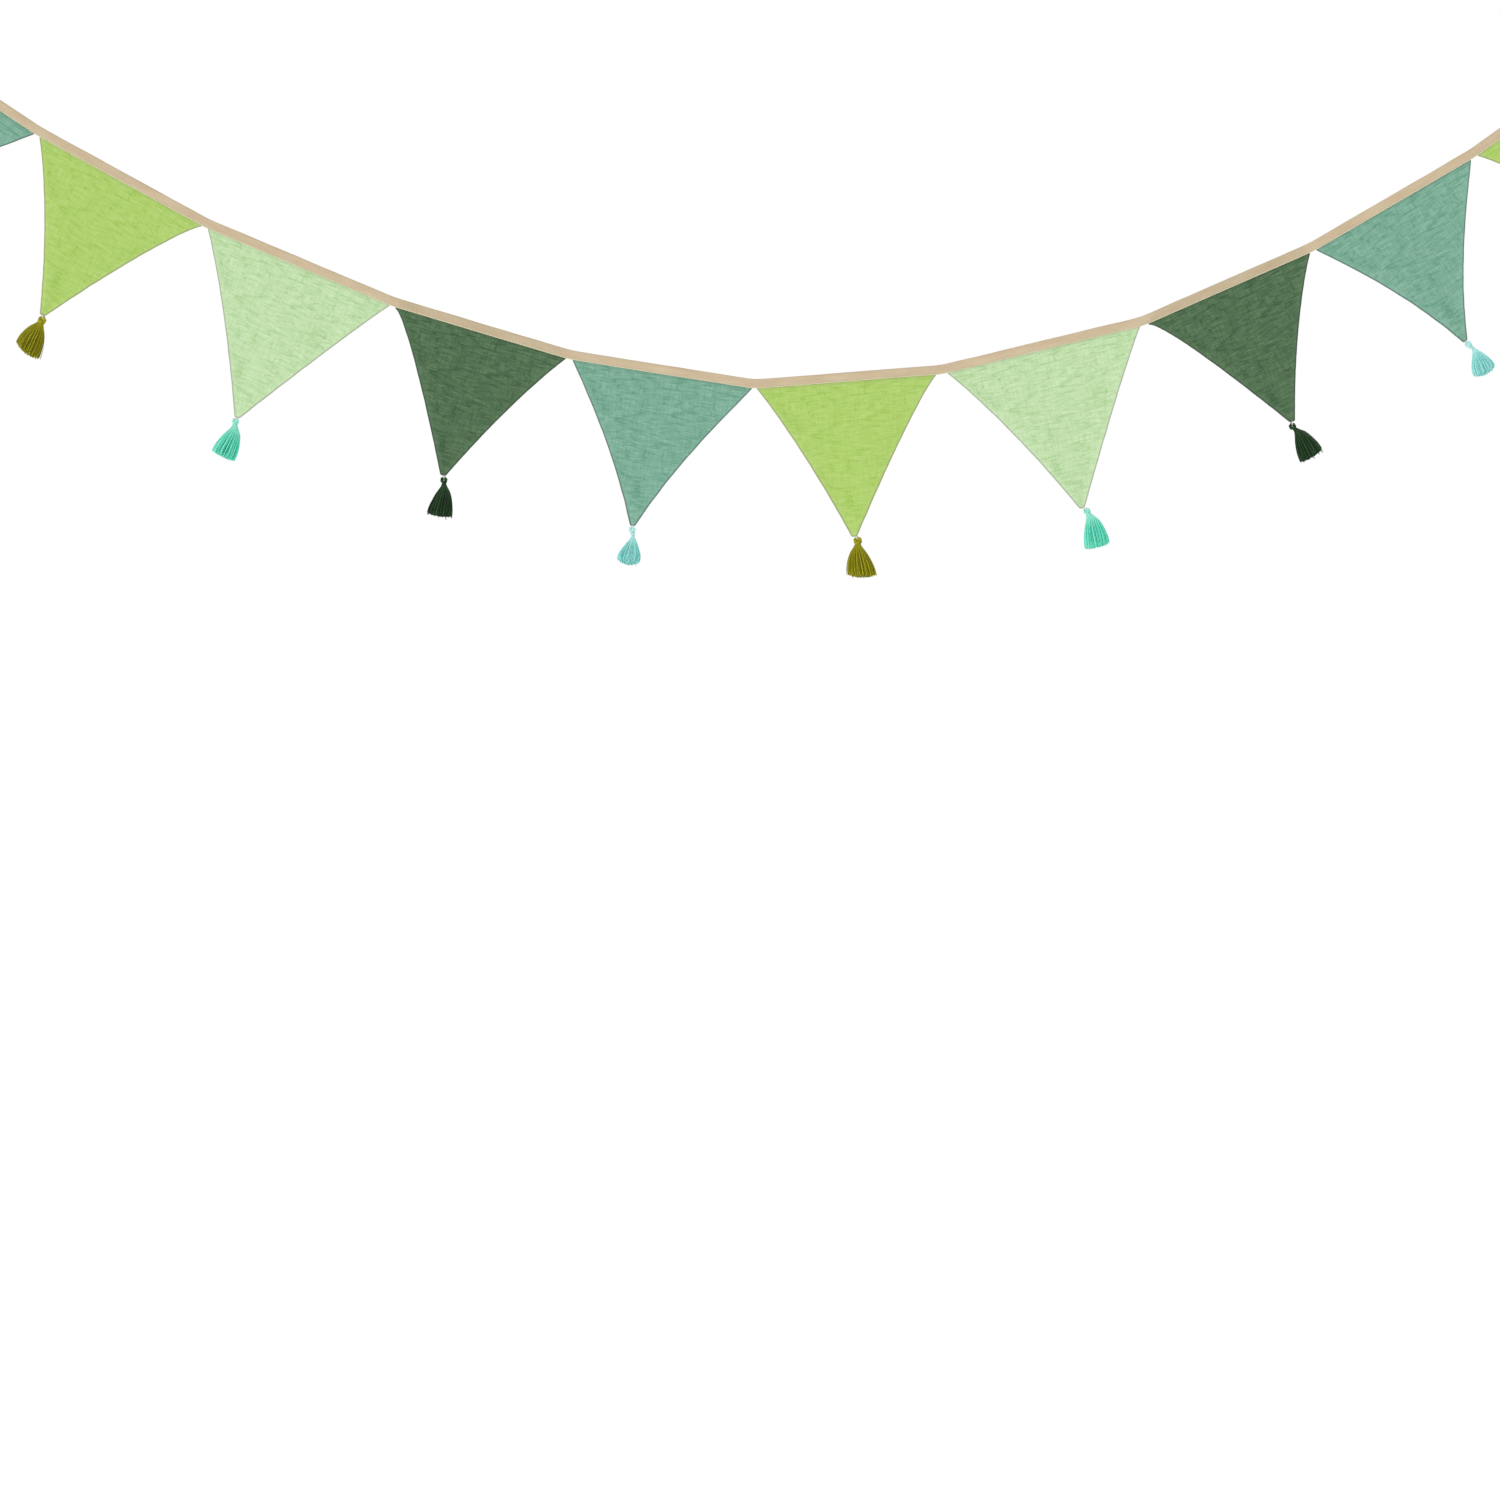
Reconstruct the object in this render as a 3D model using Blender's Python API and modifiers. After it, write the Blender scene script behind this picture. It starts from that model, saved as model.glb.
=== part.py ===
"""Fabric bunting: ten cloth pennants sewn into a folded tape, with a tassel at each tip.

Metres, +Z up. The bunting hangs by the tape's two ends in the XZ plane, and its front faces -Y. The origin is the
middle of the tape's left end, where the bunting is held. Every pennant hangs square to the stretch of tape that
it is sewn into.
"""

import math
from collections import namedtuple

import bmesh
import bpy
from mathutils import Vector

MM = 0.001
GAP = 0.3 * MM  # between pieces that touch on the real bunting

# The tape is folded lengthwise over the pennants' top edges.
TAPE_HEIGHT = 11 * MM
TAPE_CLOTH = 1.0 * MM
TAPE_TAIL = 120 * MM
TAPE_KINK = 26 * MM  # length over which the tape turns between two pennants
TAPE_STEP = 24 * MM  # between sections where the tape runs straight
TAPE_FOLD_ANGLES = (0, 90, 180)  # degrees round the fold, from the front leaf to the back leaf
TAIL_SLOPES = (-38.5, 40.5)  # degrees, left and right, positive where the tape climbs to the right
LINE_STEP = 1 * MM  # the tape's line is summed in steps of this length

# A pennant is two panels sewn together and turned, so it is one sheet.
PENNANT_CLOTH = 1.0 * MM
PENNANT_TONGUE = 8 * MM  # what the tape covers
TIP_WIDTH = 5.4 * MM
PENNANT_COLUMNS = 8
PENNANT_ROWS = 10  # below the tape
TAPE_SLOT = PENNANT_CLOTH + 2 * GAP
TAIL_SLOT = 0.5 * MM  # where the two leaves lie on each other
SLOT_CLOSES = 14 * MM  # length over which the slot closes past the last pennant

# A tassel is a loop, a bound neck that widens to a shoulder, and a skirt of locks. The head's profile is pairs of
# a radius and a share of the head's length.
LOOP_RADIUS = 2.5 * MM
LOOP_THREAD = 1.1 * MM  # half the loop's thickness
HEAD_TOP = 6.3 * MM  # below the top of the loop
HEAD_LENGTH = 5.7 * MM
HEAD_PROFILE = ((1.8 * MM, 0.0), (2.6 * MM, 0.16), (2.2 * MM, 0.4), (3.5 * MM, 0.72), (4.8 * MM, 1.0))
HEAD_FLATNESS = 0.88  # front to back, as a share of the width
SKIRT_LENGTH = 30 * MM
SKIRT_REACH = (12.7 * MM, 8.4 * MM)  # half the skirt's width and depth at its cut ends, to the locks' middles
SKIRT_FLARE = 0.7  # the lower, the sooner the skirt spreads
ROOT_REACH = (3.2 * MM, 2.5 * MM)
ROOT_SINK = 0.7 * MM  # how far a lock's root goes up into the shoulder
LOCKS = 20
LOCK_BENDS = (0, 0.2, 0.5, 1)  # shares of its length
LOCK_FILL = 0.33  # a lock's radius as a share of its room, which keeps the locks apart
GOLDEN_ANGLE = math.radians(137.508)
ROUND_SIDES = 10
SLIVER = 0.02 * MM  # edges shorter than this close up where the tassel's pieces are joined

# A bow is how far a side of the pennant curves in, and at what share of the drop it curves in most.
Bow = namedtuple("Bow", "depth deepest_at")

# The four patterns: drop below the tape, where the tip lies along the width, and the two sides.
Cut = namedtuple("Cut", "drop tip_share left right")
CUTS = {
    "teal": Cut(161 * MM, 0.468, Bow(6.3 * MM, 0.52), Bow(6.1 * MM, 0.54)),
    "lime": Cut(162 * MM, 0.477, Bow(5.0 * MM, 0.44), Bow(5.3 * MM, 0.35)),
    "mint": Cut(170 * MM, 0.504, Bow(5.0 * MM, 0.44), Bow(1.9 * MM, 0.38)),
    "forest": Cut(154 * MM, 0.526, Bow(6.2 * MM, 0.29), Bow(5.4 * MM, 0.44)),
}

# One row for each pennant, from left to right: its cloth, the tape's slope (degrees), the bare tape before it,
# its sewn width, how much its sides bow (of its pattern's), the way its tassel hangs (degrees right of straight
# down), how far right of the tip's middle the tassel is sewn, how far the tip swings forward (-) or back (+), and
# the height of its soft fold.
Pennant = namedtuple("Pennant", "name cloth slope gap width bow tassel_hangs tassel_shift swing fold")
ROW = (
    Pennant("teal_1", "teal", -33.5, 0 * MM, 190 * MM, 1.00, -33.0, 1.0 * MM, 4 * MM, 2.4 * MM),
    Pennant("lime_1", "lime", -28.7, 7 * MM, 193 * MM, 1.15, -28.0, 1.9 * MM, -3 * MM, -2.2 * MM),
    Pennant("mint_1", "mint", -22.9, 8 * MM, 207 * MM, 0.90, -24.0, 1.6 * MM, 3 * MM, 2.8 * MM),
    Pennant("forest_1", "forest", -16.6, 7 * MM, 186 * MM, 0.93, -8.5, 2.7 * MM, -4 * MM, -2.0 * MM),
    Pennant("teal_2", "teal", -9.1, 8 * MM, 190 * MM, 0.95, -10.0, 1.4 * MM, 2 * MM, 2.2 * MM),
    Pennant("lime_2", "lime", 4.5, 6 * MM, 188 * MM, 0.85, 7.0, 2.5 * MM, -4 * MM, 2.6 * MM),
    Pennant("mint_2", "mint", 13.5, 13 * MM, 207 * MM, 1.10, 12.0, 4.0 * MM, 4 * MM, -2.6 * MM),
    Pennant("forest_2", "forest", 23.7, 10 * MM, 185 * MM, 1.07, 28.5, -0.5 * MM, -2 * MM, 2.0 * MM),
    Pennant("teal_3", "teal", 30.2, 8 * MM, 187 * MM, 1.08, 27.0, 1.7 * MM, 3 * MM, -2.4 * MM),
    Pennant("lime_3", "lime", 35.6, 9 * MM, 189 * MM, 1.00, 35.0, 1.0 * MM, -3 * MM, 2.2 * MM),
)

# The tape's slow waves towards and away from the viewer.
Wave = namedtuple("Wave", "height length start")
TAPE_WAVES = (Wave(1.6 * MM, 430 * MM, 0.4), Wave(0.7 * MM, 170 * MM, 1.9))

# A finish is an sRGB colour and a roughness.
FINISHES = {
    "tape": ("D2BD9E", 0.75),
    "cloth_teal": ("7CAD96", 0.92),
    "cloth_lime": ("B0D16C", 0.92),
    "cloth_mint": ("C4E1AF", 0.92),
    "cloth_forest": ("527151", 0.92),
    "thread_ice": ("87D0C8", 0.55),
    "thread_olive": ("79741A", 0.55),
    "thread_aqua": ("5FC7AC", 0.55),
    "thread_forest": ("253D25", 0.55),
}
TASSEL_THREADS = {
    "teal": "thread_ice",
    "lime": "thread_olive",
    "mint": "thread_aqua",
    "forest": "thread_forest",
}


def clear_scene():
    for obj in list(bpy.data.objects):
        bpy.data.objects.remove(obj)


def linear(channel):
    return channel / 12.92 if channel <= 0.04045 else ((channel + 0.055) / 1.055) ** 2.4


def make_material(name):
    colour, roughness = FINISHES[name]
    material = bpy.data.materials.new(name)
    material.use_nodes = True
    shader = material.node_tree.nodes["Principled BSDF"]
    rgb = [linear(int(colour[i : i + 2], 16) / 255) for i in (0, 2, 4)]
    shader.inputs["Base Color"].default_value = (*rgb, 1)
    shader.inputs["Roughness"].default_value = roughness
    shader.inputs["Metallic"].default_value = 0
    return material


def smooth(share):
    share = min(max(share, 0), 1)
    return share * share * (3 - 2 * share)


# The tape's line


def lay_out_row():
    """Where each pennant starts and ends along the tape, and the tape's whole length."""
    spans = []
    along = TAPE_TAIL
    for pennant in ROW:
        along += pennant.gap
        spans.append((along, along + pennant.width))
        along += pennant.width
    return spans, along + TAPE_TAIL


def turns_of(spans):
    """(place along the tape, slope before it, slope after it) of each turn of the tape."""
    slopes = [TAIL_SLOPES[0], *(pennant.slope for pennant in ROW), TAIL_SLOPES[1]]
    places = [spans[0][0]]
    places += [(before[1] + after[0]) / 2 for before, after in zip(spans, spans[1:])]
    places.append(spans[-1][1])
    return list(zip(places, slopes, slopes[1:]))


def make_line(turns, length):
    """The tape's lower edge as points, summed from its slope. Its left end has its middle at the origin."""
    first_angle = math.radians(turns[0][1])
    points = [Vector((math.sin(first_angle), 0, -math.cos(first_angle))) * TAPE_HEIGHT / 2]
    for i in range(math.ceil(length / LINE_STEP)):
        along = (i + 0.5) * LINE_STEP
        slope = turns[0][1]
        for place, before, after in turns:
            slope += (after - before) * smooth((along - place) / TAPE_KINK + 0.5)
        angle = math.radians(slope)
        points.append(points[-1] + Vector((math.cos(angle), 0, math.sin(angle))) * LINE_STEP)
    return points


SPANS, TAPE_LENGTH = lay_out_row()
TURNS = turns_of(SPANS)
LINE = make_line(TURNS, TAPE_LENGTH)


def line_at(along):
    """The point of the tape's lower edge, this far along it."""
    i = min(int(along / LINE_STEP), len(LINE) - 2)
    return LINE[i].lerp(LINE[i + 1], along / LINE_STEP - i)


def line_up(along):
    """The tape's own upward direction, square to its line."""
    reach = TAPE_KINK / 4
    run = line_at(min(along + reach, TAPE_LENGTH)) - line_at(max(along - reach, 0))
    return Vector((-run.z, 0, run.x)).normalized()


def line_depth(along):
    """How far back (+Y) the tape lies, this far along it."""
    return sum(
        wave.height * (math.sin(2 * math.pi * along / wave.length + wave.start) - math.sin(wave.start))
        for wave in TAPE_WAVES
    )


# Sheets


def make_sheet(name, columns, rows, place, thickness, material):
    """A grid whose points go where place(column, row) says, given its thickness by Solidify."""
    bm = bmesh.new()
    bmesh.ops.create_grid(bm, x_segments=columns, y_segments=rows, size=0.5)
    for vert in bm.verts:
        vert.co = place(round((vert.co.x + 0.5) * columns), round((vert.co.y + 0.5) * rows))
    mesh = bpy.data.meshes.new(name)
    bm.to_mesh(mesh)
    bm.free()
    mesh.materials.append(material)
    mesh.shade_smooth()
    obj = bpy.data.objects.new(name, mesh)
    solidify = obj.modifiers.new("thickness", "SOLIDIFY")
    solidify.thickness = thickness
    solidify.offset = 0
    return obj


def tape_sections():
    """Places of the tape's cross-sections: close together where it turns, and further apart along a pennant."""
    places = {0.0, TAPE_LENGTH, SLOT_CLOSES, TAPE_LENGTH - SLOT_CLOSES}
    turns = [place for place, _, _ in TURNS]
    for turn in turns:
        places.update(turn + share * TAPE_KINK for share in (-0.5, -0.2, 0.2, 0.5))
    for first, last in zip([0.0, *turns], [*turns, TAPE_LENGTH]):
        first += TAPE_KINK / 2 if first > 0 else 0
        last -= TAPE_KINK / 2 if last < TAPE_LENGTH else 0
        steps = max(1, round((last - first) / TAPE_STEP))
        places.update(first + (last - first) * i / steps for i in range(steps + 1))
    ordered = sorted(places)
    return [a for a, b in zip(ordered, [*ordered[1:], math.inf]) if b - a > TAPE_STEP / 10]


def slot_at(along):
    """The room between the tape's two leaves. It closes on the tails, past the pennants."""
    past = max(SPANS[0][0] - along, along - SPANS[-1][1], 0)
    return TAPE_SLOT + (TAIL_SLOT - TAPE_SLOT) * smooth(past / SLOT_CLOSES)


def make_tape(material):
    """One strip, folded over at its top: front leaf, fold and back leaf."""
    sections = tape_sections()
    last_row = len(TAPE_FOLD_ANGLES) + 1

    def place(column, row):
        along = sections[column]
        middle = (slot_at(along) + TAPE_CLOTH) / 2
        leaf_top = TAPE_HEIGHT - TAPE_CLOTH / 2 - middle
        if row in (0, last_row):
            depth = middle if row else -middle
            height = 0
        else:
            angle = math.radians(TAPE_FOLD_ANGLES[row - 1])
            depth = -middle * math.cos(angle)
            height = leaf_top + middle * math.sin(angle)
        return line_at(along) + line_up(along) * height + Vector((0, line_depth(along) + depth, 0))

    return make_sheet("tape", len(sections) - 1, last_row, place, TAPE_CLOTH, material)


def bow_at(bow, share):
    """How far in a side lies at this share of the drop: nothing at both ends, and most at bow.deepest_at."""
    skewed = share ** (math.log(0.5) / math.log(bow.deepest_at))
    return bow.depth * 4 * skewed * (1 - skewed)


def side_of(pennant, share, right):
    """How far along the width a pennant's side lies, at this share of its drop; right is 0 or 1."""
    cut = CUTS[pennant.cloth]
    corner = pennant.width * right
    tip = pennant.width * cut.tip_share + (right - 0.5) * TIP_WIDTH
    inward = -bow_at(cut.right, share) if right else bow_at(cut.left, share)
    return corner + (tip - corner) * share + inward * pennant.bow


def pennant_depth(pennant, across, share, along):
    """How far back a point of a pennant lies: with the tape at its top, and in its own fold lower down."""
    fold = pennant.fold * math.sin(math.pi * (across * 1.7 + 0.2)) * smooth(share * 1.6) * (1 - 0.6 * share)
    return (1 - share) * line_depth(along) + pennant.swing * share**2 + fold


def make_pennant(pennant, span, material):
    """A three-cornered sheet with sides that bow in and a top edge inside the tape, and where its tip is."""
    drop = CUTS[pennant.cloth].drop
    corner = line_at(span[0])
    run = (line_at(span[1]) - corner).normalized()
    up = Vector((-run.z, 0, run.x))

    def place(across, down):
        share = max(down / drop, 0)
        left, right = (side_of(pennant, share, side) for side in (0, 1))
        u = left + (right - left) * across
        along = span[0] + u
        rise = (line_at(along) - corner).dot(up) * (1 - share)
        return Vector((u, pennant_depth(pennant, across, share, along), rise - down))

    def place_on_grid(column, row):
        down = drop * (row - 1) / PENNANT_ROWS if row else -PENNANT_TONGUE
        return place(column / PENNANT_COLUMNS, down)

    name = f"pennant_{pennant.name}"
    obj = make_sheet(name, PENNANT_COLUMNS, PENNANT_ROWS + 1, place_on_grid, PENNANT_CLOTH, material)
    obj.location = corner
    obj.rotation_euler = (0, -math.atan2(run.z, run.x), 0)
    tip = place(0.5, drop)
    return obj, corner + run * tip.x + up * tip.z + Vector((0, tip.y, 0))


# Tassels


def make_loop():
    """The thread loop that the tassel hangs by, with its top at the tassel's origin."""
    bpy.ops.mesh.primitive_torus_add(
        major_segments=ROUND_SIDES,
        minor_segments=4,
        major_radius=LOOP_RADIUS,
        minor_radius=LOOP_THREAD,
        location=(0, 0, -LOOP_RADIUS - LOOP_THREAD),
        rotation=(math.pi / 2, 0, 0),
    )
    return bpy.context.object


def make_head():
    """The head, a turned form: its bound neck, the pinch under it and the shoulder that the skirt leaves."""
    bm = bmesh.new()
    verts = [bm.verts.new((0, 0, -HEAD_TOP))]
    verts += [bm.verts.new((radius, 0, -HEAD_TOP - share * HEAD_LENGTH)) for radius, share in HEAD_PROFILE]
    verts.append(bm.verts.new((0, 0, -HEAD_TOP - HEAD_LENGTH)))
    for a, b in zip(verts, verts[1:]):
        bm.edges.new((a, b))
    turned = bm.verts[:] + bm.edges[:]
    bmesh.ops.spin(bm, geom=turned, axis=(0, 0, 1), angle=2 * math.pi, steps=ROUND_SIDES, use_merge=True)
    bmesh.ops.remove_doubles(bm, verts=bm.verts[:], dist=0.01 * MM)
    bmesh.ops.scale(bm, verts=bm.verts[:], vec=(1, HEAD_FLATNESS, 1))
    bmesh.ops.recalc_face_normals(bm, faces=bm.faces[:])
    mesh = bpy.data.meshes.new("head")
    bm.to_mesh(mesh)
    bm.free()
    obj = bpy.data.objects.new("head", mesh)
    bpy.context.collection.objects.link(obj)
    return obj


def make_skirt():
    """The skirt's locks: four-sided tubes that spread from the shoulder and share the skirt's room."""
    curve = bpy.data.curves.new("skirt", "CURVE")
    curve.dimensions = "3D"
    curve.bevel_depth = 1
    curve.bevel_resolution = 0
    curve.use_fill_caps = True
    root_height = -HEAD_TOP - HEAD_LENGTH + ROOT_SINK
    for lock in range(LOCKS):
        reach = math.sqrt((lock + 0.5) / LOCKS)
        angle = lock * GOLDEN_ANGLE
        length = ROOT_SINK + SKIRT_LENGTH * (1 - 0.06 * reach**2)
        spline = curve.splines.new("POLY")
        spline.points.add(len(LOCK_BENDS) - 1)
        for point, share in zip(spline.points, LOCK_BENDS):
            spread = math.sin(share * math.pi / 2) ** SKIRT_FLARE
            room = [root + (end - root) * spread for root, end in zip(ROOT_REACH, SKIRT_REACH)]
            x = reach * room[0] * math.cos(angle)
            y = reach * room[1] * math.sin(angle)
            point.co = (x, y, root_height - length * share, 1)
            point.radius = LOCK_FILL * math.sqrt(math.pi * room[0] * room[1] / LOCKS)
    obj = bpy.data.objects.new("skirt_curve", curve)
    bpy.context.collection.objects.link(obj)
    return mesh_of(obj, "skirt")


def mesh_of(curve_object, name):
    """A curve object made a mesh, with its caps welded on."""
    graph = bpy.context.evaluated_depsgraph_get()
    mesh = bpy.data.meshes.new_from_object(curve_object.evaluated_get(graph))
    bm = bmesh.new()
    bm.from_mesh(mesh)
    bmesh.ops.remove_doubles(bm, verts=bm.verts[:], dist=0.001 * MM)
    bmesh.ops.recalc_face_normals(bm, faces=bm.faces[:])
    bm.to_mesh(mesh)
    bm.free()
    obj = bpy.data.objects.new(name, mesh)
    obj.matrix_world = curve_object.matrix_world
    bpy.context.collection.objects.link(obj)
    bpy.data.objects.remove(curve_object)
    return obj


def join_by_union(base, others):
    """One mesh of the base with the others joined on, its slivers closed up. All of the objects are removed."""
    for other in others:
        union = base.modifiers.new(f"join {other.name}", "BOOLEAN")
        union.operation = "UNION"
        union.object = other
    graph = bpy.context.evaluated_depsgraph_get()
    mesh = bpy.data.meshes.new_from_object(base.evaluated_get(graph))
    for joined in (base, *others):
        bpy.data.objects.remove(joined)
    bm = bmesh.new()
    bm.from_mesh(mesh)
    bmesh.ops.remove_doubles(bm, verts=bm.verts[:], dist=SLIVER)
    bmesh.ops.dissolve_degenerate(bm, edges=bm.edges[:], dist=SLIVER)
    bm.to_mesh(mesh)
    bm.free()
    return mesh


def make_tassel_mesh():
    mesh = join_by_union(make_head(), [make_loop(), make_skirt()])
    mesh.name = "tassel"
    mesh.set_sharp_from_angle(angle=math.radians(50))
    return mesh


def make_tassel(pennant, tip, mesh, material):
    """A tassel hung just under the edge of its pennant's tip, turned the way it hangs."""
    own_mesh = mesh.copy()
    own_mesh.materials.clear()
    own_mesh.materials.append(material)
    obj = bpy.data.objects.new(f"tassel_{pennant.name}", own_mesh)
    slope = math.radians(pennant.slope)
    hangs = math.radians(pennant.tassel_hangs)
    loop_reach = LOOP_RADIUS + LOOP_THREAD
    eye = tip + Vector((math.cos(slope), 0, math.sin(slope))) * pennant.tassel_shift
    eye += Vector((math.sin(slope), 0, -math.cos(slope))) * (loop_reach + GAP)
    obj.location = eye - Vector((math.sin(hangs), 0, -math.cos(hangs))) * loop_reach
    obj.rotation_euler = (0, -hangs, 0)
    return obj


def build():
    clear_scene()
    collection = bpy.data.collections.new("fabric_bunting")
    bpy.context.scene.collection.children.link(collection)
    materials = {name: make_material(name) for name in FINISHES}
    tassel_mesh = make_tassel_mesh()
    collection.objects.link(make_tape(materials["tape"]))
    for pennant, span in zip(ROW, SPANS):
        cloth, tip = make_pennant(pennant, span, materials[f"cloth_{pennant.cloth}"])
        collection.objects.link(cloth)
        thread = materials[TASSEL_THREADS[pennant.cloth]]
        collection.objects.link(make_tassel(pennant, tip, tassel_mesh, thread))


build()
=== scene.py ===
# %% [markdown]
# # A fabric bunting
#
# Ten cloth pennants hang from a folded tape, and each has a small thread tassel at its tip. The packed
# model gives the true size and place of every piece. This script dresses it: it builds each piece again
# as cloth and thread, finer than a solid for collision needs to be, and gives it a material.
#
# Everything is in metres, with +Z up. The front of the bunting faces -Y.

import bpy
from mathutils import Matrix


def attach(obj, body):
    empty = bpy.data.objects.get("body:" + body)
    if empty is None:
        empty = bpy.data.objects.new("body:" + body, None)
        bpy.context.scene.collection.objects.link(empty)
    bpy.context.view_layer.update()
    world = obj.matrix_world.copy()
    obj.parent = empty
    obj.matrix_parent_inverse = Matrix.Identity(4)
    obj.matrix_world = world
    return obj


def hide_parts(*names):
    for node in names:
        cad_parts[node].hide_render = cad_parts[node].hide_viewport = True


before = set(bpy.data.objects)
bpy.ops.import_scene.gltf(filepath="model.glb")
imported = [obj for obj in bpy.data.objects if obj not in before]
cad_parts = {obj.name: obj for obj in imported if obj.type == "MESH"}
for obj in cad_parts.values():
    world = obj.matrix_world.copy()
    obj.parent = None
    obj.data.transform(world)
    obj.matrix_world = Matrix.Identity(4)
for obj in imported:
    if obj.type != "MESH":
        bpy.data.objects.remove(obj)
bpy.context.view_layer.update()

import math
from collections import namedtuple

import bpy
from mathutils import Matrix, Vector, noise

MM = 0.001
print("packed nodes:", len(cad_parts))

# %% [markdown]
# ## Small helpers
#
# Every material and every Geometry Nodes tree below is a handful of nodes joined by links. One function
# adds a node, sets its properties, and fills or links its inputs. An input is named, or numbered where a
# node has two inputs of one name. Colours are written as the sRGB hex values that one picks off a screen,
# while the renderer works with linear light, so one function turns the first into the second. A third
# starts a material and sets what is the same all over it, such as its roughness, on the shader itself.

# %% Add a node, read a colour, and start a material


def add(tree, kind, inputs=None, **settings):
    """Adds a node, sets its properties, and sets its inputs or links them to other nodes' outputs."""
    node = tree.nodes.new(kind)
    for name, value in settings.items():
        setattr(node, name, value)
    for name, value in (inputs or {}).items():
        socket = node.inputs[name] if isinstance(name, int) else shown_socket(node.inputs, name)
        if isinstance(value, bpy.types.Node):
            tree.links.new(shown_socket(value.outputs), socket)
        elif isinstance(value, bpy.types.NodeSocket):
            tree.links.new(value, socket)
        else:
            socket.default_value = value
    return node


def shown_socket(sockets, name=None):
    """The first socket in use, or the first in use that has this name."""
    return next(socket for socket in sockets if socket.enabled and name in (None, socket.name))


def colour(hex_value):
    """An sRGB hex colour as linear red, green, blue and alpha."""
    shares = [int(hex_value[i : i + 2], 16) / 255 for i in (0, 2, 4)]
    return (*(s / 12.92 if s <= 0.04045 else ((s + 0.055) / 1.055) ** 2.4 for s in shares), 1)


def new_material(name, finish):
    """A material, its tree and its shader, whose own sockets get these plain values."""
    material = bpy.data.materials.new(name)
    material.use_nodes = True
    shader = material.node_tree.nodes["Principled BSDF"]
    for socket, value in finish.items():
        shader.inputs[socket].default_value = value
    return material, material.node_tree, shader


print("a beige tape in linear light:", [round(share, 3) for share in colour("D6BEA0")])

# %% [markdown]
# ## Camera
#
# The photograph looks at the hung bunting straight on. One of its 1500 pixels is 1.05 mm of the real
# thing, so the frame takes in 1.575 m. A long lens keeps the two ends as large as the middle.

# %% Place the camera
IMAGE_PIXELS = 1500
PIXEL = 1.05 * MM
LENS = 100
SENSOR = 36
VIEW_CENTRE = Vector((1.0008, 0, -0.8298))

scene = bpy.context.scene
camera = bpy.data.objects.new("camera", bpy.data.cameras.new("camera"))
camera.data.lens = LENS
camera.data.sensor_width = SENSOR
distance = IMAGE_PIXELS * PIXEL * LENS / SENSOR
camera.location = VIEW_CENTRE - Vector((0, distance, 0))
camera.rotation_euler = (math.pi / 2, 0, 0)
scene.collection.objects.link(camera)
scene.camera = camera
print("camera distance, m:", round(distance, 3))

# %% [markdown]
# ## Light and floor
#
# The photograph is a bright catalogue picture: soft light from all round, a little more of it from the
# upper left, and a white ground. A white world gives the light from all round. A soft sun lamp in front
# and one behind bring out the crinkle of the cloth, which even light would flatten, and light both ends
# of the long row alike, as a lamp close by would not. The floor is plain and white, lies well below the
# tassels, and reaches so far that its edge doesn't show as a horizon.

# %% Light the studio
AMBIENT = 0.53
BACKGROUND = 1.0
LAMP_STRENGTH = 0.95
LAMP_SOFTNESS = 24  # degrees across
LAMP_DISTANCE = 4  # a sun lamp shines alike from any distance
LAMPS = (  # name, and the direction that it shines from
    ("lamp in front", (-0.62, -1.0, 0.75)),
    ("lamp behind", (0.62, 1.0, 0.75)),
)
FLOOR_HEIGHT = -1.62
FLOOR_SIZE = 40
FLOOR_MIDDLE = 1  # along X, under the middle of the row
FLOOR_PAINT = {  # matt white, and glowing enough to match the white of the background
    "Base Color": colour("F4F4F3"),
    "Roughness": 0.9,
    "Specular IOR Level": 0.1,
    "Emission Color": colour("FFFFFF"),
    "Emission Strength": 0.26,
}

world = bpy.data.worlds.new("studio")
world.use_nodes = True
sky = world.node_tree
sky.nodes.clear()
surround = add(sky, "ShaderNodeBackground", {"Color": colour("FFFFFF"), "Strength": AMBIENT})
ground = add(sky, "ShaderNodeBackground", {"Color": colour("FFFFFF"), "Strength": BACKGROUND})
seen = add(sky, "ShaderNodeLightPath").outputs["Is Camera Ray"]
both = add(sky, "ShaderNodeMixShader", {0: seen, 1: surround, 2: ground})
add(sky, "ShaderNodeOutputWorld", {"Surface": both})
scene.world = world
scene.view_settings.view_transform = "Standard"

for name, shines_from in LAMPS:
    lamp = bpy.data.objects.new(name, bpy.data.lights.new(name, "SUN"))
    lamp.data.energy = LAMP_STRENGTH
    lamp.data.angle = math.radians(LAMP_SOFTNESS)
    lamp.location = Vector(shines_from) * LAMP_DISTANCE
    lamp.rotation_euler = Vector(shines_from).to_track_quat("Z", "Y").to_euler()
    scene.collection.objects.link(lamp)

half = FLOOR_SIZE / 2
corners = [(-half, -half), (half, -half), (half, half), (-half, half)]
floor_mesh = bpy.data.meshes.new("floor")
floor_mesh.from_pydata([(x + FLOOR_MIDDLE, y, FLOOR_HEIGHT) for x, y in corners], [], [(0, 1, 2, 3)])
floor = bpy.data.objects.new("floor", floor_mesh)
floor_paint, _, _ = new_material("matt white floor", FLOOR_PAINT)
floor_mesh.materials.append(floor_paint)
scene.collection.objects.link(floor)
print("lamps:", len(LAMPS), "floor at", FLOOR_HEIGHT)

# %% [markdown]
# ## The tape's line
#
# The tape runs through the whole bunting, so its line comes first, and every other piece takes its place
# from it. Each pennant is stiff enough to keep its stretch of tape straight, and the tape turns in the few
# millimetres between two pennants. So the line isn't one smooth curve but a chain of straight stretches,
# each with its own slope. The slope is summed step by step, which also makes the line exactly as long as
# the tape. The numbers are those of the solids, so that the cloth lies where they do.

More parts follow.
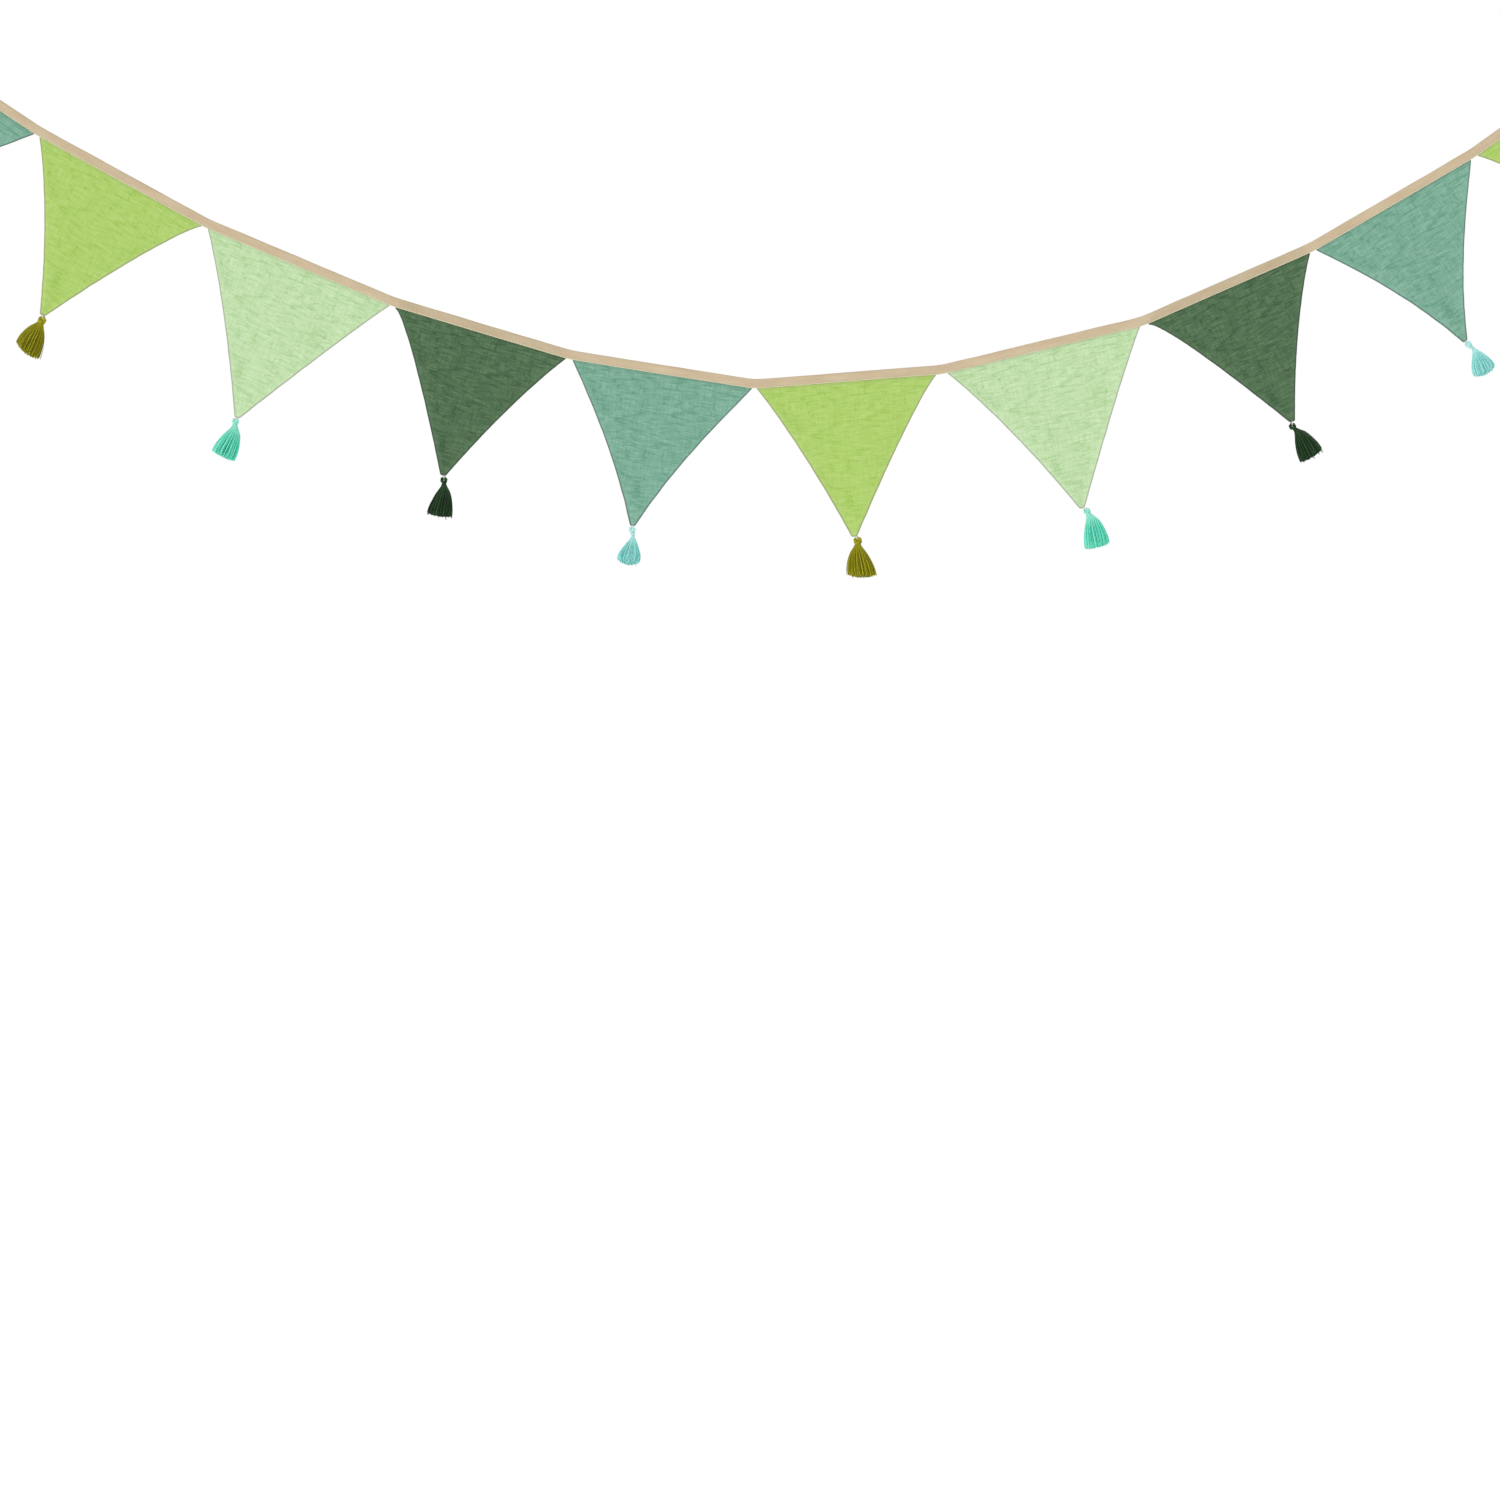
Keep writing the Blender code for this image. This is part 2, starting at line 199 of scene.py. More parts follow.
# %% State the sizes of the row
TAPE_HEIGHT = 11 * MM
TAPE_TAIL = 120 * MM  # bare tape at each end
TAPE_KINK = 26 * MM  # length over which the tape turns from one slope to the next
TAIL_SLOPES = (-38.5, 40.5)
LINE_STEP = 1 * MM
PENNANT_TONGUE = 8 * MM  # what of a pennant lies inside the tape
TIP_WIDTH = 5.4 * MM
GAP = 0.3 * MM  # between a tip and its tassel, as in the solids

# A pattern: drop below the tape, place of the tip along the width, and how far each side bows in and
# where most.
Bow = namedtuple("Bow", "depth deepest_at")
Cut = namedtuple("Cut", "drop tip_share left right")
CUTS = {
    "teal": Cut(161 * MM, 0.468, Bow(6.3 * MM, 0.52), Bow(6.1 * MM, 0.54)),
    "lime": Cut(162 * MM, 0.477, Bow(5.0 * MM, 0.44), Bow(5.3 * MM, 0.35)),
    "mint": Cut(170 * MM, 0.504, Bow(5.0 * MM, 0.44), Bow(1.9 * MM, 0.38)),
    "forest": Cut(154 * MM, 0.526, Bow(6.2 * MM, 0.29), Bow(5.4 * MM, 0.44)),
}

# A pennant: cloth, the tape's slope, the bare tape before it, width, bow, how its tassel hangs and how far
# right of the tip's middle, swing and fold.
Pennant = namedtuple("Pennant", "name cloth slope gap width bow tassel_hangs tassel_shift swing fold")
ROW = (
    Pennant("teal_1", "teal", -33.5, 0 * MM, 190 * MM, 1.00, -33.0, 1.0 * MM, 4 * MM, 2.4 * MM),
    Pennant("lime_1", "lime", -28.7, 7 * MM, 193 * MM, 1.15, -28.0, 1.9 * MM, -3 * MM, -2.2 * MM),
    Pennant("mint_1", "mint", -22.9, 8 * MM, 207 * MM, 0.90, -24.0, 1.6 * MM, 3 * MM, 2.8 * MM),
    Pennant("forest_1", "forest", -16.6, 7 * MM, 186 * MM, 0.93, -8.5, 2.7 * MM, -4 * MM, -2.0 * MM),
    Pennant("teal_2", "teal", -9.1, 8 * MM, 190 * MM, 0.95, -10.0, 1.4 * MM, 2 * MM, 2.2 * MM),
    Pennant("lime_2", "lime", 4.5, 6 * MM, 188 * MM, 0.85, 7.0, 2.5 * MM, -4 * MM, 2.6 * MM),
    Pennant("mint_2", "mint", 13.5, 13 * MM, 207 * MM, 1.10, 12.0, 4.0 * MM, 4 * MM, -2.6 * MM),
    Pennant("forest_2", "forest", 23.7, 10 * MM, 185 * MM, 1.07, 28.5, -0.5 * MM, -2 * MM, 2.0 * MM),
    Pennant("teal_3", "teal", 30.2, 8 * MM, 187 * MM, 1.08, 27.0, 1.7 * MM, 3 * MM, -2.4 * MM),
    Pennant("lime_3", "lime", 35.6, 9 * MM, 189 * MM, 1.00, 35.0, 1.0 * MM, -3 * MM, 2.2 * MM),
)
Wave = namedtuple("Wave", "height length start")
TAPE_WAVES = (Wave(1.6 * MM, 430 * MM, 0.4), Wave(0.7 * MM, 170 * MM, 1.9))
print("cloth in the pennants' widths, m:", round(sum(pennant.width for pennant in ROW), 3))

# %% Sum the line from its slopes


def smooth(share):
    """Rises from 0 to 1 as the share does, with soft ends."""
    share = min(max(share, 0), 1)
    return share * share * (3 - 2 * share)


def directions(degrees):
    """The direction along a line with this slope, and the one square to it and down."""
    angle = math.radians(degrees)
    return Vector((math.cos(angle), 0, math.sin(angle))), Vector((math.sin(angle), 0, -math.cos(angle)))


SPANS = []
along = TAPE_TAIL
for pennant in ROW:
    along += pennant.gap
    SPANS.append((along, along + pennant.width))
    along += pennant.width
TAPE_LENGTH = along + TAPE_TAIL

SLOPES = [TAIL_SLOPES[0], *(pennant.slope for pennant in ROW), TAIL_SLOPES[1]]
places = [SPANS[0][0], *((a[1] + b[0]) / 2 for a, b in zip(SPANS, SPANS[1:])), SPANS[-1][1]]
TURNS = list(zip(places, SLOPES, SLOPES[1:]))


def slope_at(along):
    """The tape's slope in degrees, this far along it."""
    return SLOPES[0] + sum(
        (after - before) * smooth((along - place) / TAPE_KINK + 0.5) for place, before, after in TURNS
    )


LINE = [directions(SLOPES[0])[1] * TAPE_HEIGHT / 2]
for i in range(math.ceil(TAPE_LENGTH / LINE_STEP)):
    LINE.append(LINE[-1] + directions(slope_at((i + 0.5) * LINE_STEP))[0] * LINE_STEP)


def line_at(along):
    """The point of the tape's lower edge, this far along it."""
    i = min(max(int(along / LINE_STEP), 0), len(LINE) - 2)
    return LINE[i].lerp(LINE[i + 1], along / LINE_STEP - i)


def line_up(along):
    """The tape's own upward direction, square to its line."""
    reach = TAPE_KINK / 4
    run = line_at(min(along + reach, TAPE_LENGTH)) - line_at(max(along - reach, 0))
    return Vector((-run.z, 0, run.x)).normalized()


def line_depth(along):
    """How far back the tape lies, this far along it."""
    return sum(
        wave.height * (math.sin(2 * math.pi * along / wave.length + wave.start) - math.sin(wave.start))
        for wave in TAPE_WAVES
    )


print("tape length, m:", round(TAPE_LENGTH, 3), "pennants:", len(ROW))

# %% [markdown]
# ## Double gauze
#
# The pennants are muslin, which shops sell as cotton double gauze: two loose plain weaves held together by
# single threads. When it is washed, the two shrink unevenly, and the cloth crinkles. Seen from a step away
# it has a soft grain of threads both ways, wavy creases that mostly run along the weft, here parallel to
# the tape, and a mottled colour where the loose weave opens and closes. The creases' light and shade is
# painted into the colour: painted shade in their hollows and along the sharp ones, painted light on their
# ridges.
#
# A picture of cloth could be wrapped on, but nodes need no file and show no repeat. Each sheet below
# carries an attribute named flat. It holds the point's place on the flat cloth in metres, and its distance
# from the nearest side seam, so the grain follows the cloth however it hangs. The real threads are 0.4 mm
# apart, too fine for the picture, so the grain is drawn three times as coarse.

# %% State the gauze's patterns and colours
GRAIN = 1.2 * MM  # drawn; the real threads are about 0.4 mm apart
SLUB = 15 * MM  # length over which a thicker stretch of thread runs
CREASE = (17 * MM, 3.6 * MM)  # length and spacing of the soft creases
CREASE_LINE = (30 * MM, 8 * MM)  # the same of the sharp ones, which get thin lines of painted shade
CREASE_SHARPNESS = 24  # the higher, the thinner the line
CREASE_COVER = 0.2  # the share of the cloth that their painted shade darkens, given back in the rest of it
CREASE_DENT = 0.1  # in mm
MOTTLE = 30 * MM
COTTON_IOR = 1.53
GAUZE_FINISH = {
    "Roughness": 0.92,
    "IOR": COTTON_IOR,
    "Specular IOR Level": 0.2,
    "Sheen Weight": 0.18,
    "Sheen Roughness": 0.6,
}

# In each pattern: size along the width, size down, weight in the colour, and height of the bump in mm.
GAUZE_PATTERNS = (
    (GRAIN, SLUB, 0.54, 0.10),
    (SLUB, GRAIN, 0.82, 0.13),
    # painted light and shade: the crease patterns lighten the colour where they raise the cloth and darken
    # it in the hollows
    (*CREASE, 0.40, 0.32),
    (CREASE[1], CREASE[0], 0.12, 0.12),
    (MOTTLE, MOTTLE, 0.08, 0.0),
)
# Size along the width, size down, and how dark their painted shade is: the sharp creases along the weft,
# and the fewer across it.
GAUZE_CREASES = (
    (*CREASE_LINE, 0.2),
    (CREASE_LINE[1] * 1.5, CREASE_LINE[0], 0.08),
)
# What changes near an edge: the part of flat that says how near, where it starts to fade and is gone, how
# strong it is, and the colour that it takes.
GAUZE_EDGES = (
    ("Z", 4.0 * MM, 7.5 * MM, 0.22, "highlight"),  # lighter within 4 mm of a side, fading out by 7.5 mm
    ("Y", 0.6 * MM, 3.0 * MM, 0.2, "edge"),  # the tape shades the cloth just below it
    ("Z", 0.9 * MM, 2.1 * MM, 0.95, "edge"),  # the turned edge looks darker
)
GAUZE_TONES = (0.22, 0.5, 0.78)  # where the shadow, body and highlight colours lie
GAUZES = {  # how strong the pattern is, and the colours
    "teal": (1.0, {"shadow": "619981", "body": "79AC95", "highlight": "92C0AB", "edge": "5C766E"}),
    "lime": (0.72, {"shadow": "9AC04D", "body": "B0D26B", "highlight": "C2DE86", "edge": "9DA672"}),
    "mint": (0.95, {"shadow": "A9CF91", "body": "C1E0AB", "highlight": "D6EEC3", "edge": "ABB49E"}),
    "forest": (1.0, {"shadow": "385A39", "body": "4C6C4A", "highlight": "658561", "edge": "3C4A3E"}),
}
print("patterns in the gauze:", len(GAUZE_PATTERNS) + len(GAUZE_CREASES))

# %% Make the gauze


def make_gauze(name, strength, colours):
    """Matt, softly mottled cloth with a grain both ways, and painted light and shade in its creases.
    Its fuzz gives a faint sheen at a grazing angle.
    """
    material, tree, shader = new_material(f"cotton double gauze {name}", GAUZE_FINISH)
    place = add(tree, "ShaderNodeAttribute", attribute_name="flat").outputs["Vector"]
    tone, height = 0.5, 0.0
    # Grain, slub and mottle are the cloth's own tone; the crease patterns add painted light and shade.
    for wide, deep, weight, bump in GAUZE_PATTERNS:
        scaled = add(tree, "ShaderNodeMapping", {"Vector": place, "Scale": (1 / wide, 1 / deep, 0)})
        noise_inputs = {"Vector": scaled, "Scale": 1, "Detail": 3, "Distortion": 0.35}
        pattern = add(tree, "ShaderNodeTexNoise", noise_inputs)
        centred = add(tree, "ShaderNodeMath", {0: pattern, 1: 0.5}, operation="SUBTRACT")
        weighed = {0: centred, 1: weight * strength, 2: tone}
        tone = add(tree, "ShaderNodeMath", weighed, operation="MULTIPLY_ADD")
        height = add(tree, "ShaderNodeMath", {0: centred, 1: bump, 2: height}, operation="MULTIPLY_ADD")
    # Painted shade: thin dark lines along the sharp creases.
    for wide, deep, weight in GAUZE_CREASES:
        scaled = add(tree, "ShaderNodeMapping", {"Vector": place, "Scale": (1 / wide, 1 / deep, 0)})
        noise_inputs = {"Vector": scaled, "Scale": 1, "Detail": 1.2, "Distortion": 0.25}
        pattern = add(tree, "ShaderNodeTexNoise", noise_inputs)
        level = add(tree, "ShaderNodeMath", {0: pattern, 1: 0.5}, operation="SUBTRACT")
        away = add(tree, "ShaderNodeMath", {0: level}, operation="ABSOLUTE")
        sharpened = {0: away, 1: -CREASE_SHARPNESS, 2: 1}
        line = add(tree, "ShaderNodeMath", sharpened, operation="MULTIPLY_ADD", use_clamp=True)
        dark = weight * strength
        tone = add(tree, "ShaderNodeMath", {0: line, 1: -dark, 2: tone}, operation="MULTIPLY_ADD")
        tone = add(tree, "ShaderNodeMath", {0: tone, 1: dark * CREASE_COVER}, operation="ADD")
        dented = {0: line, 1: -CREASE_DENT, 2: height}
        height = add(tree, "ShaderNodeMath", dented, operation="MULTIPLY_ADD")
    cloth = add(tree, "ShaderNodeValToRGB", {"Fac": tone})
    stops = cloth.color_ramp.elements
    stops[0].position, stops[0].color = GAUZE_TONES[0], colour(colours["shadow"])
    stops[1].position, stops[1].color = GAUZE_TONES[2], colour(colours["highlight"])
    stops.new(GAUZE_TONES[1]).color = colour(colours["body"])
    parts = add(tree, "ShaderNodeSeparateXYZ", {"Vector": place})
    for part, start, end, share, tint in GAUZE_EDGES:
        near = add(
            tree,
            "ShaderNodeMapRange",
            {"Value": parts.outputs[part], "From Min": start, "From Max": end, "To Min": share, "To Max": 0},
            interpolation_type="SMOOTHSTEP",
        )
        mixed = {"Factor": near, "A": cloth, "B": colour(colours[tint])}
        cloth = add(tree, "ShaderNodeMix", mixed, data_type="RGBA")
    relief = add(tree, "ShaderNodeBump", {"Strength": 1, "Distance": MM, "Height": height})
    tree.links.new(shown_socket(cloth.outputs), shader.inputs["Base Color"])
    tree.links.new(relief.outputs["Normal"], shader.inputs["Normal"])
    return material


gauzes = {name: make_gauze(name, *look) for name, look in GAUZES.items()}
print("gauzes:", ", ".join(gauzes))

# %% [markdown]
# ## Pennants
#
# A maker lays two triangles of gauze face to face, sews the two long sides, turns the piece right side out
# and presses it. So a pennant is one closed sheet: two layers that join in a soft rolled edge, a little
# thicker next to the edge where the seam allowance lies inside. The raw top edge goes up into the tape.
#
# A flat triangle with a thick edge would look like card. This one is a fine grid, front and back, moved by
# what cloth does: it follows the tape at the top, swings and folds slightly lower down, crinkles all over,
# and puckers where it is sewn. A cloth simulation would let it hang, but the photograph shows each
# outline, so the shape is set directly.

# %% Say how the cloth moves
SIDE_WOBBLE = 0.35 * MM  # how uneven a hand-guided seam is
WOBBLE_LENGTH = 13 * MM
WOBBLE_FADE = 15 * MM  # from the tape and from the tip
FREE_BELOW = 9 * MM  # nothing moves inside the tape, and all is free this far below it
FOLD_WAVES = 1.7  # half waves of the soft fold from side to side
FOLD_START = 0.2  # where in a half wave the left side lies
FOLD_RISE = 1.6  # above 1, the fold is whole before the tip
FOLD_LOSS = 0.6  # how much weaker it is at the tip
CRINKLE_HEIGHT = 0.34 * MM
CRINKLE_DRIFT = (5 * MM, 33 * MM)  # how far the creases wander, and over what length
CRINKLE_ALONG = (24 * MM, 6.4 * MM, 0.72)  # size along the width, size down and share: along the weft
CRINKLE_ACROSS = (9 * MM, 30 * MM, 0.5)  # and across it
PUCKER = 0.3 * MM  # height of the gathers at a row of stitches
PUCKER_SPACING = 7.5 * MM
PUCKER_WAVER = (1.5, 21 * MM)  # how uneven the puckers are, and over what length
PUCKER_FADE = 7 * MM
TAPE_PUCKER = 0.7  # how strong the puckers under the tape are, against those at the sides
TAPE_PUCKER_START = 2 * MM


def bow_at(bow, share):
    """How far a side bows in at this share of the drop."""
    skewed = share ** (math.log(0.5) / math.log(bow.deepest_at))
    return bow.depth * 4 * skewed * (1 - skewed)


def side_of(pennant, share, right):
    """How far along the width a side lies, at this share of the drop. right is 0 or 1."""
    cut = CUTS[pennant.cloth]
    corner = pennant.width * right
    tip = pennant.width * cut.tip_share + (right - 0.5) * TIP_WIDTH
    inward = -bow_at(cut.right, share) if right else bow_at(cut.left, share)
    return corner + (tip - corner) * share + inward * pennant.bow


def crinkle(u, v, seed):
    """Height of the washed-in creases: long ones along the weft and weaker ones across it."""
    reach, length = CRINKLE_DRIFT
    drift = reach * noise.noise(Vector((u / length, v / length, seed)))
    wide, deep, share = CRINKLE_ALONG
    height = share * noise.noise(Vector((u / wide, (v + drift) / deep, seed + 3)))
    wide, deep, share = CRINKLE_ACROSS
    height += share * noise.noise(Vector(((u + drift) / wide, v / deep, seed + 7)))
    return CRINKLE_HEIGHT * height


def pucker(run, edge, seed):
    """Small gathers that fade away from a row of stitches, this far along it and away from it."""
    strength, length = PUCKER_WAVER
    waver = strength * noise.noise(Vector((run / length, seed, 0)))
    wave = math.sin(2 * math.pi * run / PUCKER_SPACING + 3 * waver) * (0.6 + 0.4 * waver)
    return PUCKER * wave * math.exp(-edge / PUCKER_FADE)


Hung = namedtuple("Hung", "pennant start corner run up seed")


def pennant_point(hung, u, v):
    """Where a point of the flat cloth hangs. v is the distance below the tape, less than 0 inside it."""
    pennant, seed = hung.pennant, hung.seed
    share = max(v / CUTS[pennant.cloth].drop, 0)
    left, right = (side_of(pennant, share, side) for side in (0, 1))
    across = (u - left) / (right - left)
    along = hung.start + u
    rise = (line_at(along) - hung.corner).dot(hung.up) * (1 - share)
    fold = math.sin(math.pi * (across * FOLD_WAVES + FOLD_START))
    fold *= smooth(share * FOLD_RISE) * (1 - FOLD_LOSS * share)
    depth = (1 - share) * line_depth(along) + pennant.swing * share**2 + pennant.fold * fold
    edge = max(min(u - left, right - u), 0)
    depth += smooth(v / FREE_BELOW) * (crinkle(u, v, seed) + pucker(v, edge, seed + 11))
    depth += smooth(v / TAPE_PUCKER_START) * TAPE_PUCKER * pucker(u, v, seed + 17)
    return hung.corner + hung.run * u + hung.up * (rise - v) + Vector((0, depth, 0))


print("side of a teal pennant half way down, mm:", round(side_of(ROW[0], 0.5, 0) / MM, 1))

# %% Lay out one pennant's grid
SHEET_HALF = 0.5 * MM  # half the thickness of two layers
LEAST_HALF = 0.05 * MM  # so that the two faces never meet inside the cloth
SEAM_SWELL = 0.22 * MM  # what the seam allowance adds on each face
SWELL_START = 6 * MM  # below the tape
SEAM_ALLOWANCE = 6 * MM
PUFF = (0.12 * MM, 17 * MM)  # how much the two layers stand apart here and there, and over what length
EDGE_ROLL = 0.8 * MM  # width of the rounded edge
EDGE_STEPS = (0, 0.1 * MM, 0.32 * MM, 0.8 * MM, 1.8 * MM)  # grid lines close together at the rolled edge
INNER_COLUMNS = 84
ROW_HEIGHT = 1.7 * MM
TIP_ROUNDING = 1.4 * MM


def rows_of(drop):
    """The grid's rows as distances below the tape, from the raw top edge inside it to the tip."""
    even = drop - EDGE_STEPS[-1]
    steps = round(even / ROW_HEIGHT)
    rows = [-PENNANT_TONGUE, -PENNANT_TONGUE / 2]
    rows += [even * i / steps for i in range(steps + 1)]
    return rows + [drop - step for step in reversed(EDGE_STEPS[:-1])]


def columns_of(pennant, v, seed):
    """The grid's columns as places along the width, from one side seam to the other."""
    drop = CUTS[pennant.cloth].drop
    share, below = max(v / drop, 0), drop - v
    inset = 0
    if below < TIP_ROUNDING:
        inset = TIP_ROUNDING - math.sqrt(TIP_ROUNDING**2 - (TIP_ROUNDING - below) ** 2)
    uneven = SIDE_WOBBLE * smooth(v / WOBBLE_FADE) * smooth(below / WOBBLE_FADE)
    wobble = [uneven * noise.noise(Vector((v / WOBBLE_LENGTH, seed, side))) for side in (0, 1)]
    left = side_of(pennant, share, 0) + inset + wobble[0]
    right = side_of(pennant, share, 1) - inset + wobble[1]
    squeeze = min(1, (right - left) / (3 * EDGE_STEPS[-1]))
    steps = [step * squeeze for step in EDGE_STEPS]
    between = right - left - 2 * steps[-1]
    inner = [left + steps[-1] + between * i / INNER_COLUMNS for i in range(1, INNER_COLUMNS)]
    return [*(left + step for step in steps), *inner, *(right - step for step in reversed(steps))]


def half_thickness(u, v, edge, seed, side):
    """How far one face lies from the sheet's middle, this far from the nearest turned edge."""
    rolled = math.sqrt(1 - (1 - min(max(edge, 0) / EDGE_ROLL, 1)) ** 2)
    swell = SEAM_SWELL * smooth(v / SWELL_START) * (1 - smooth((edge - SEAM_ALLOWANCE) / MM + 0.5))
    height, length = PUFF
    puff = height * noise.noise(Vector((u / length, v / length, seed + 20 + side)))
    return max((SHEET_HALF + swell + puff * smooth(v / FREE_BELOW)) * rolled, LEAST_HALF)


def sheet_object(name, verts, faces, flats, material):
    """A sheet of cloth as an object. flats says where each of its points lies on the flat cloth."""
    mesh = bpy.data.meshes.new(name)
    mesh.from_pydata(verts, [], faces)
    attribute = mesh.attributes.new("flat", "FLOAT_VECTOR", "POINT")
    attribute.data.foreach_set("vector", [value for flat in flats for value in flat])
    mesh.materials.append(material)
    mesh.shade_smooth()
    obj = bpy.data.objects.new(name, mesh)
    scene.collection.objects.link(obj)
    return obj


def make_pennant(pennant, span, seed, material):
    """The sheet, its flat area and its tip. Front and back share the points of the sides and the tip."""
    drop = CUTS[pennant.cloth].drop
    corner = line_at(span[0])
    run = (line_at(span[1]) - corner).normalized()
    hung = Hung(pennant, span[0], corner, run, Vector((-run.z, 0, run.x)), seed)
    rows = rows_of(drop)
    verts, flats, grid = [], [], []
    for v in rows:
        columns = columns_of(pennant, v, seed)
        line = []
        for number, u in enumerate(columns):
            point = pennant_point(hung, u, v)
            edge = min(u - columns[0], columns[-1] - u, drop - v)
            shared = number in (0, len(columns) - 1) or v == rows[-1]
            first = len(verts)
            for side in (0,) if shared else (-1, 1):
                out = 0 if shared else side * half_thickness(u, v, edge, seed, side)
                verts.append(point + Vector((0, out, 0)))
                flats.append((u, v, edge))
            line.append((first, len(verts) - 1))
        grid.append(line)
    faces = []
    for upper, lower in zip(grid, grid[1:]):
        for i in range(len(upper) - 1):
            faces.append((lower[i][0], lower[i + 1][0], upper[i + 1][0], upper[i][0]))
            faces.append((upper[i][1], upper[i + 1][1], lower[i + 1][1], lower[i][1]))
    for a, b in zip(grid[0], grid[0][1:]):
        faces.append(tuple(dict.fromkeys((a[0], b[0], b[1], a[1]))))
    obj = sheet_object(f"gauze_{pennant.name}", verts, faces, flats, material)
    shares = [max(v / drop, 0) for v in rows]
    widths = [side_of(pennant, share, 1) - side_of(pennant, share, 0) for share in shares]
    area = sum((a + b) / 2 * (w - v) for a, b, v, w in zip(widths, widths[1:], rows, rows[1:]))
    tip_middle = (side_of(pennant, 1, 0) + side_of(pennant, 1, 1)) / 2
    return obj, area, pennant_point(hung, tip_middle, drop)


pennants, areas, tips = {}, {}, {}
for seed, (pennant, span) in enumerate(zip(ROW, SPANS)):
    made = make_pennant(pennant, span, 10.0 * seed + 5, gauzes[pennant.cloth])
    pennants[pennant.name], areas[pennant.name], tips[pennant.name] = made
print("pennant faces:", sum(len(obj.data.polygons) for obj in pennants.values()))
print("areas, cm2:", {name: round(area * 1e4) for name, area in areas.items()})

# %% [markdown]
# ## Tape
#
# The tape is cotton bias binding: a strip cut on the slant, its raw edges folded in, then folded in half
# over the tops of the pennants and sewn through near its lower edge. Between two pennants its leaves lie
# on each other. Each stitch pulls the leaves in, so the lower edge is scalloped in step with the stitches.
# The cotton is smooth and close, matt, with its fine weave on the slant, slightly worn here and there.
# The darkest cloth shows faintly through it, and the folded lower edge carries a painted highlight.
#
# A strip swept along a curve would keep one section all the way. Here the section changes along the line,
# so the mesh is laid out section by section: up the front, over the fold, down the back, and up the
# inside.

# %% Weave the tape's cotton
BINDING_THREAD = 0.8 * MM  # drawn; the real threads are about 0.25 mm apart
BINDING_BIAS = 45  # degrees
WEAR = (38 * MM, 9 * MM)  # size along the tape, and up it
WEAR_SHARE = 0.7
THREAD_SHARE = 0.3
WEAVE_BUMP = 0.05  # in mm
THREAD_BUMP = 0.1
TAPE_TONES = ((0.25, "C9B190"), (0.75, "DDCBAB"))
TAPE_LIP_HIGHLIGHT = (0.8 * MM, 2.0 * MM)  # painted highlight on the folded lower edge, out to here
LIP_HIGHLIGHT_SHARE = 0.85
LIP_HIGHLIGHT_COLOUR = "E7E0C0"
CLOTH_COLOUR = "506F4D"  # of the cloth that shows through
TAPE_FINISH = {"Roughness": 0.78, "IOR": COTTON_IOR, "Specular IOR Level": 0.3, "Sheen Weight": 0.12}

binding, tree, shader = new_material("folded cotton bias tape", TAPE_FINISH)
flat = add(tree, "ShaderNodeAttribute", attribute_name="flat").outputs["Vector"]
slanted = add(
    tree,
    "ShaderNodeMapping",
    {
        "Vector": flat,
        "Rotation": (0, 0, math.radians(BINDING_BIAS)),
        "Scale": (1 / BINDING_THREAD, 1 / BINDING_THREAD, 0),
    },
)
weave = add(tree, "ShaderNodeTexChecker", {"Vector": slanted, "Scale": 1})
threads = add(tree, "ShaderNodeTexNoise", {"Vector": slanted, "Scale": 0.6, "Detail": 3})
wide = add(tree, "ShaderNodeMapping", {"Vector": flat, "Scale": (1 / WEAR[0], 1 / WEAR[1], 0)})
wear = add(tree, "ShaderNodeTexNoise", {"Vector": wide, "Scale": 1, "Detail": 4})
tone = add(tree, "ShaderNodeMath", {0: wear, 1: WEAR_SHARE}, operation="MULTIPLY")
tone = add(tree, "ShaderNodeMath", {0: threads, 1: THREAD_SHARE, 2: tone}, operation="MULTIPLY_ADD")
tones = add(tree, "ShaderNodeValToRGB", {"Fac": tone})
for stop, (position, hex_value) in zip(tones.color_ramp.elements, TAPE_TONES):
    stop.position, stop.color = position, colour(hex_value)
up_the_tape = add(tree, "ShaderNodeSeparateXYZ", {"Vector": flat}).outputs["Z"]
# Painted highlight along the tape's folded lower edge.
start, end = TAPE_LIP_HIGHLIGHT
near_edge = {"Value": up_the_tape, "From Min": start, "From Max": end, "To Min": LIP_HIGHLIGHT_SHARE, "To Max": 0}
lip_highlight = add(tree, "ShaderNodeMapRange", near_edge)
under = add(tree, "ShaderNodeAttribute", attribute_name="under").outputs["Fac"]
backed = {"Factor": under, "A": tones, "B": colour(CLOTH_COLOUR)}
backed = add(tree, "ShaderNodeMix", backed, data_type="RGBA")
cloth = add(tree, "ShaderNodeMix", {"Factor": lip_highlight, "A": backed, "B": colour(LIP_HIGHLIGHT_COLOUR)}, data_type="RGBA")
relief = add(tree, "ShaderNodeMath", {0: threads, 1: THREAD_BUMP}, operation="MULTIPLY")
woven = {0: weave.outputs["Fac"], 1: WEAVE_BUMP, 2: relief}
relief = add(tree, "ShaderNodeMath", woven, operation="MULTIPLY_ADD")
bumped = add(tree, "ShaderNodeBump", {"Strength": 1, "Distance": MM, "Height": relief})
tree.links.new(shown_socket(cloth.outputs), shader.inputs["Base Color"])
tree.links.new(bumped.outputs["Normal"], shader.inputs["Normal"])
print("tape material nodes:", len(tree.nodes))

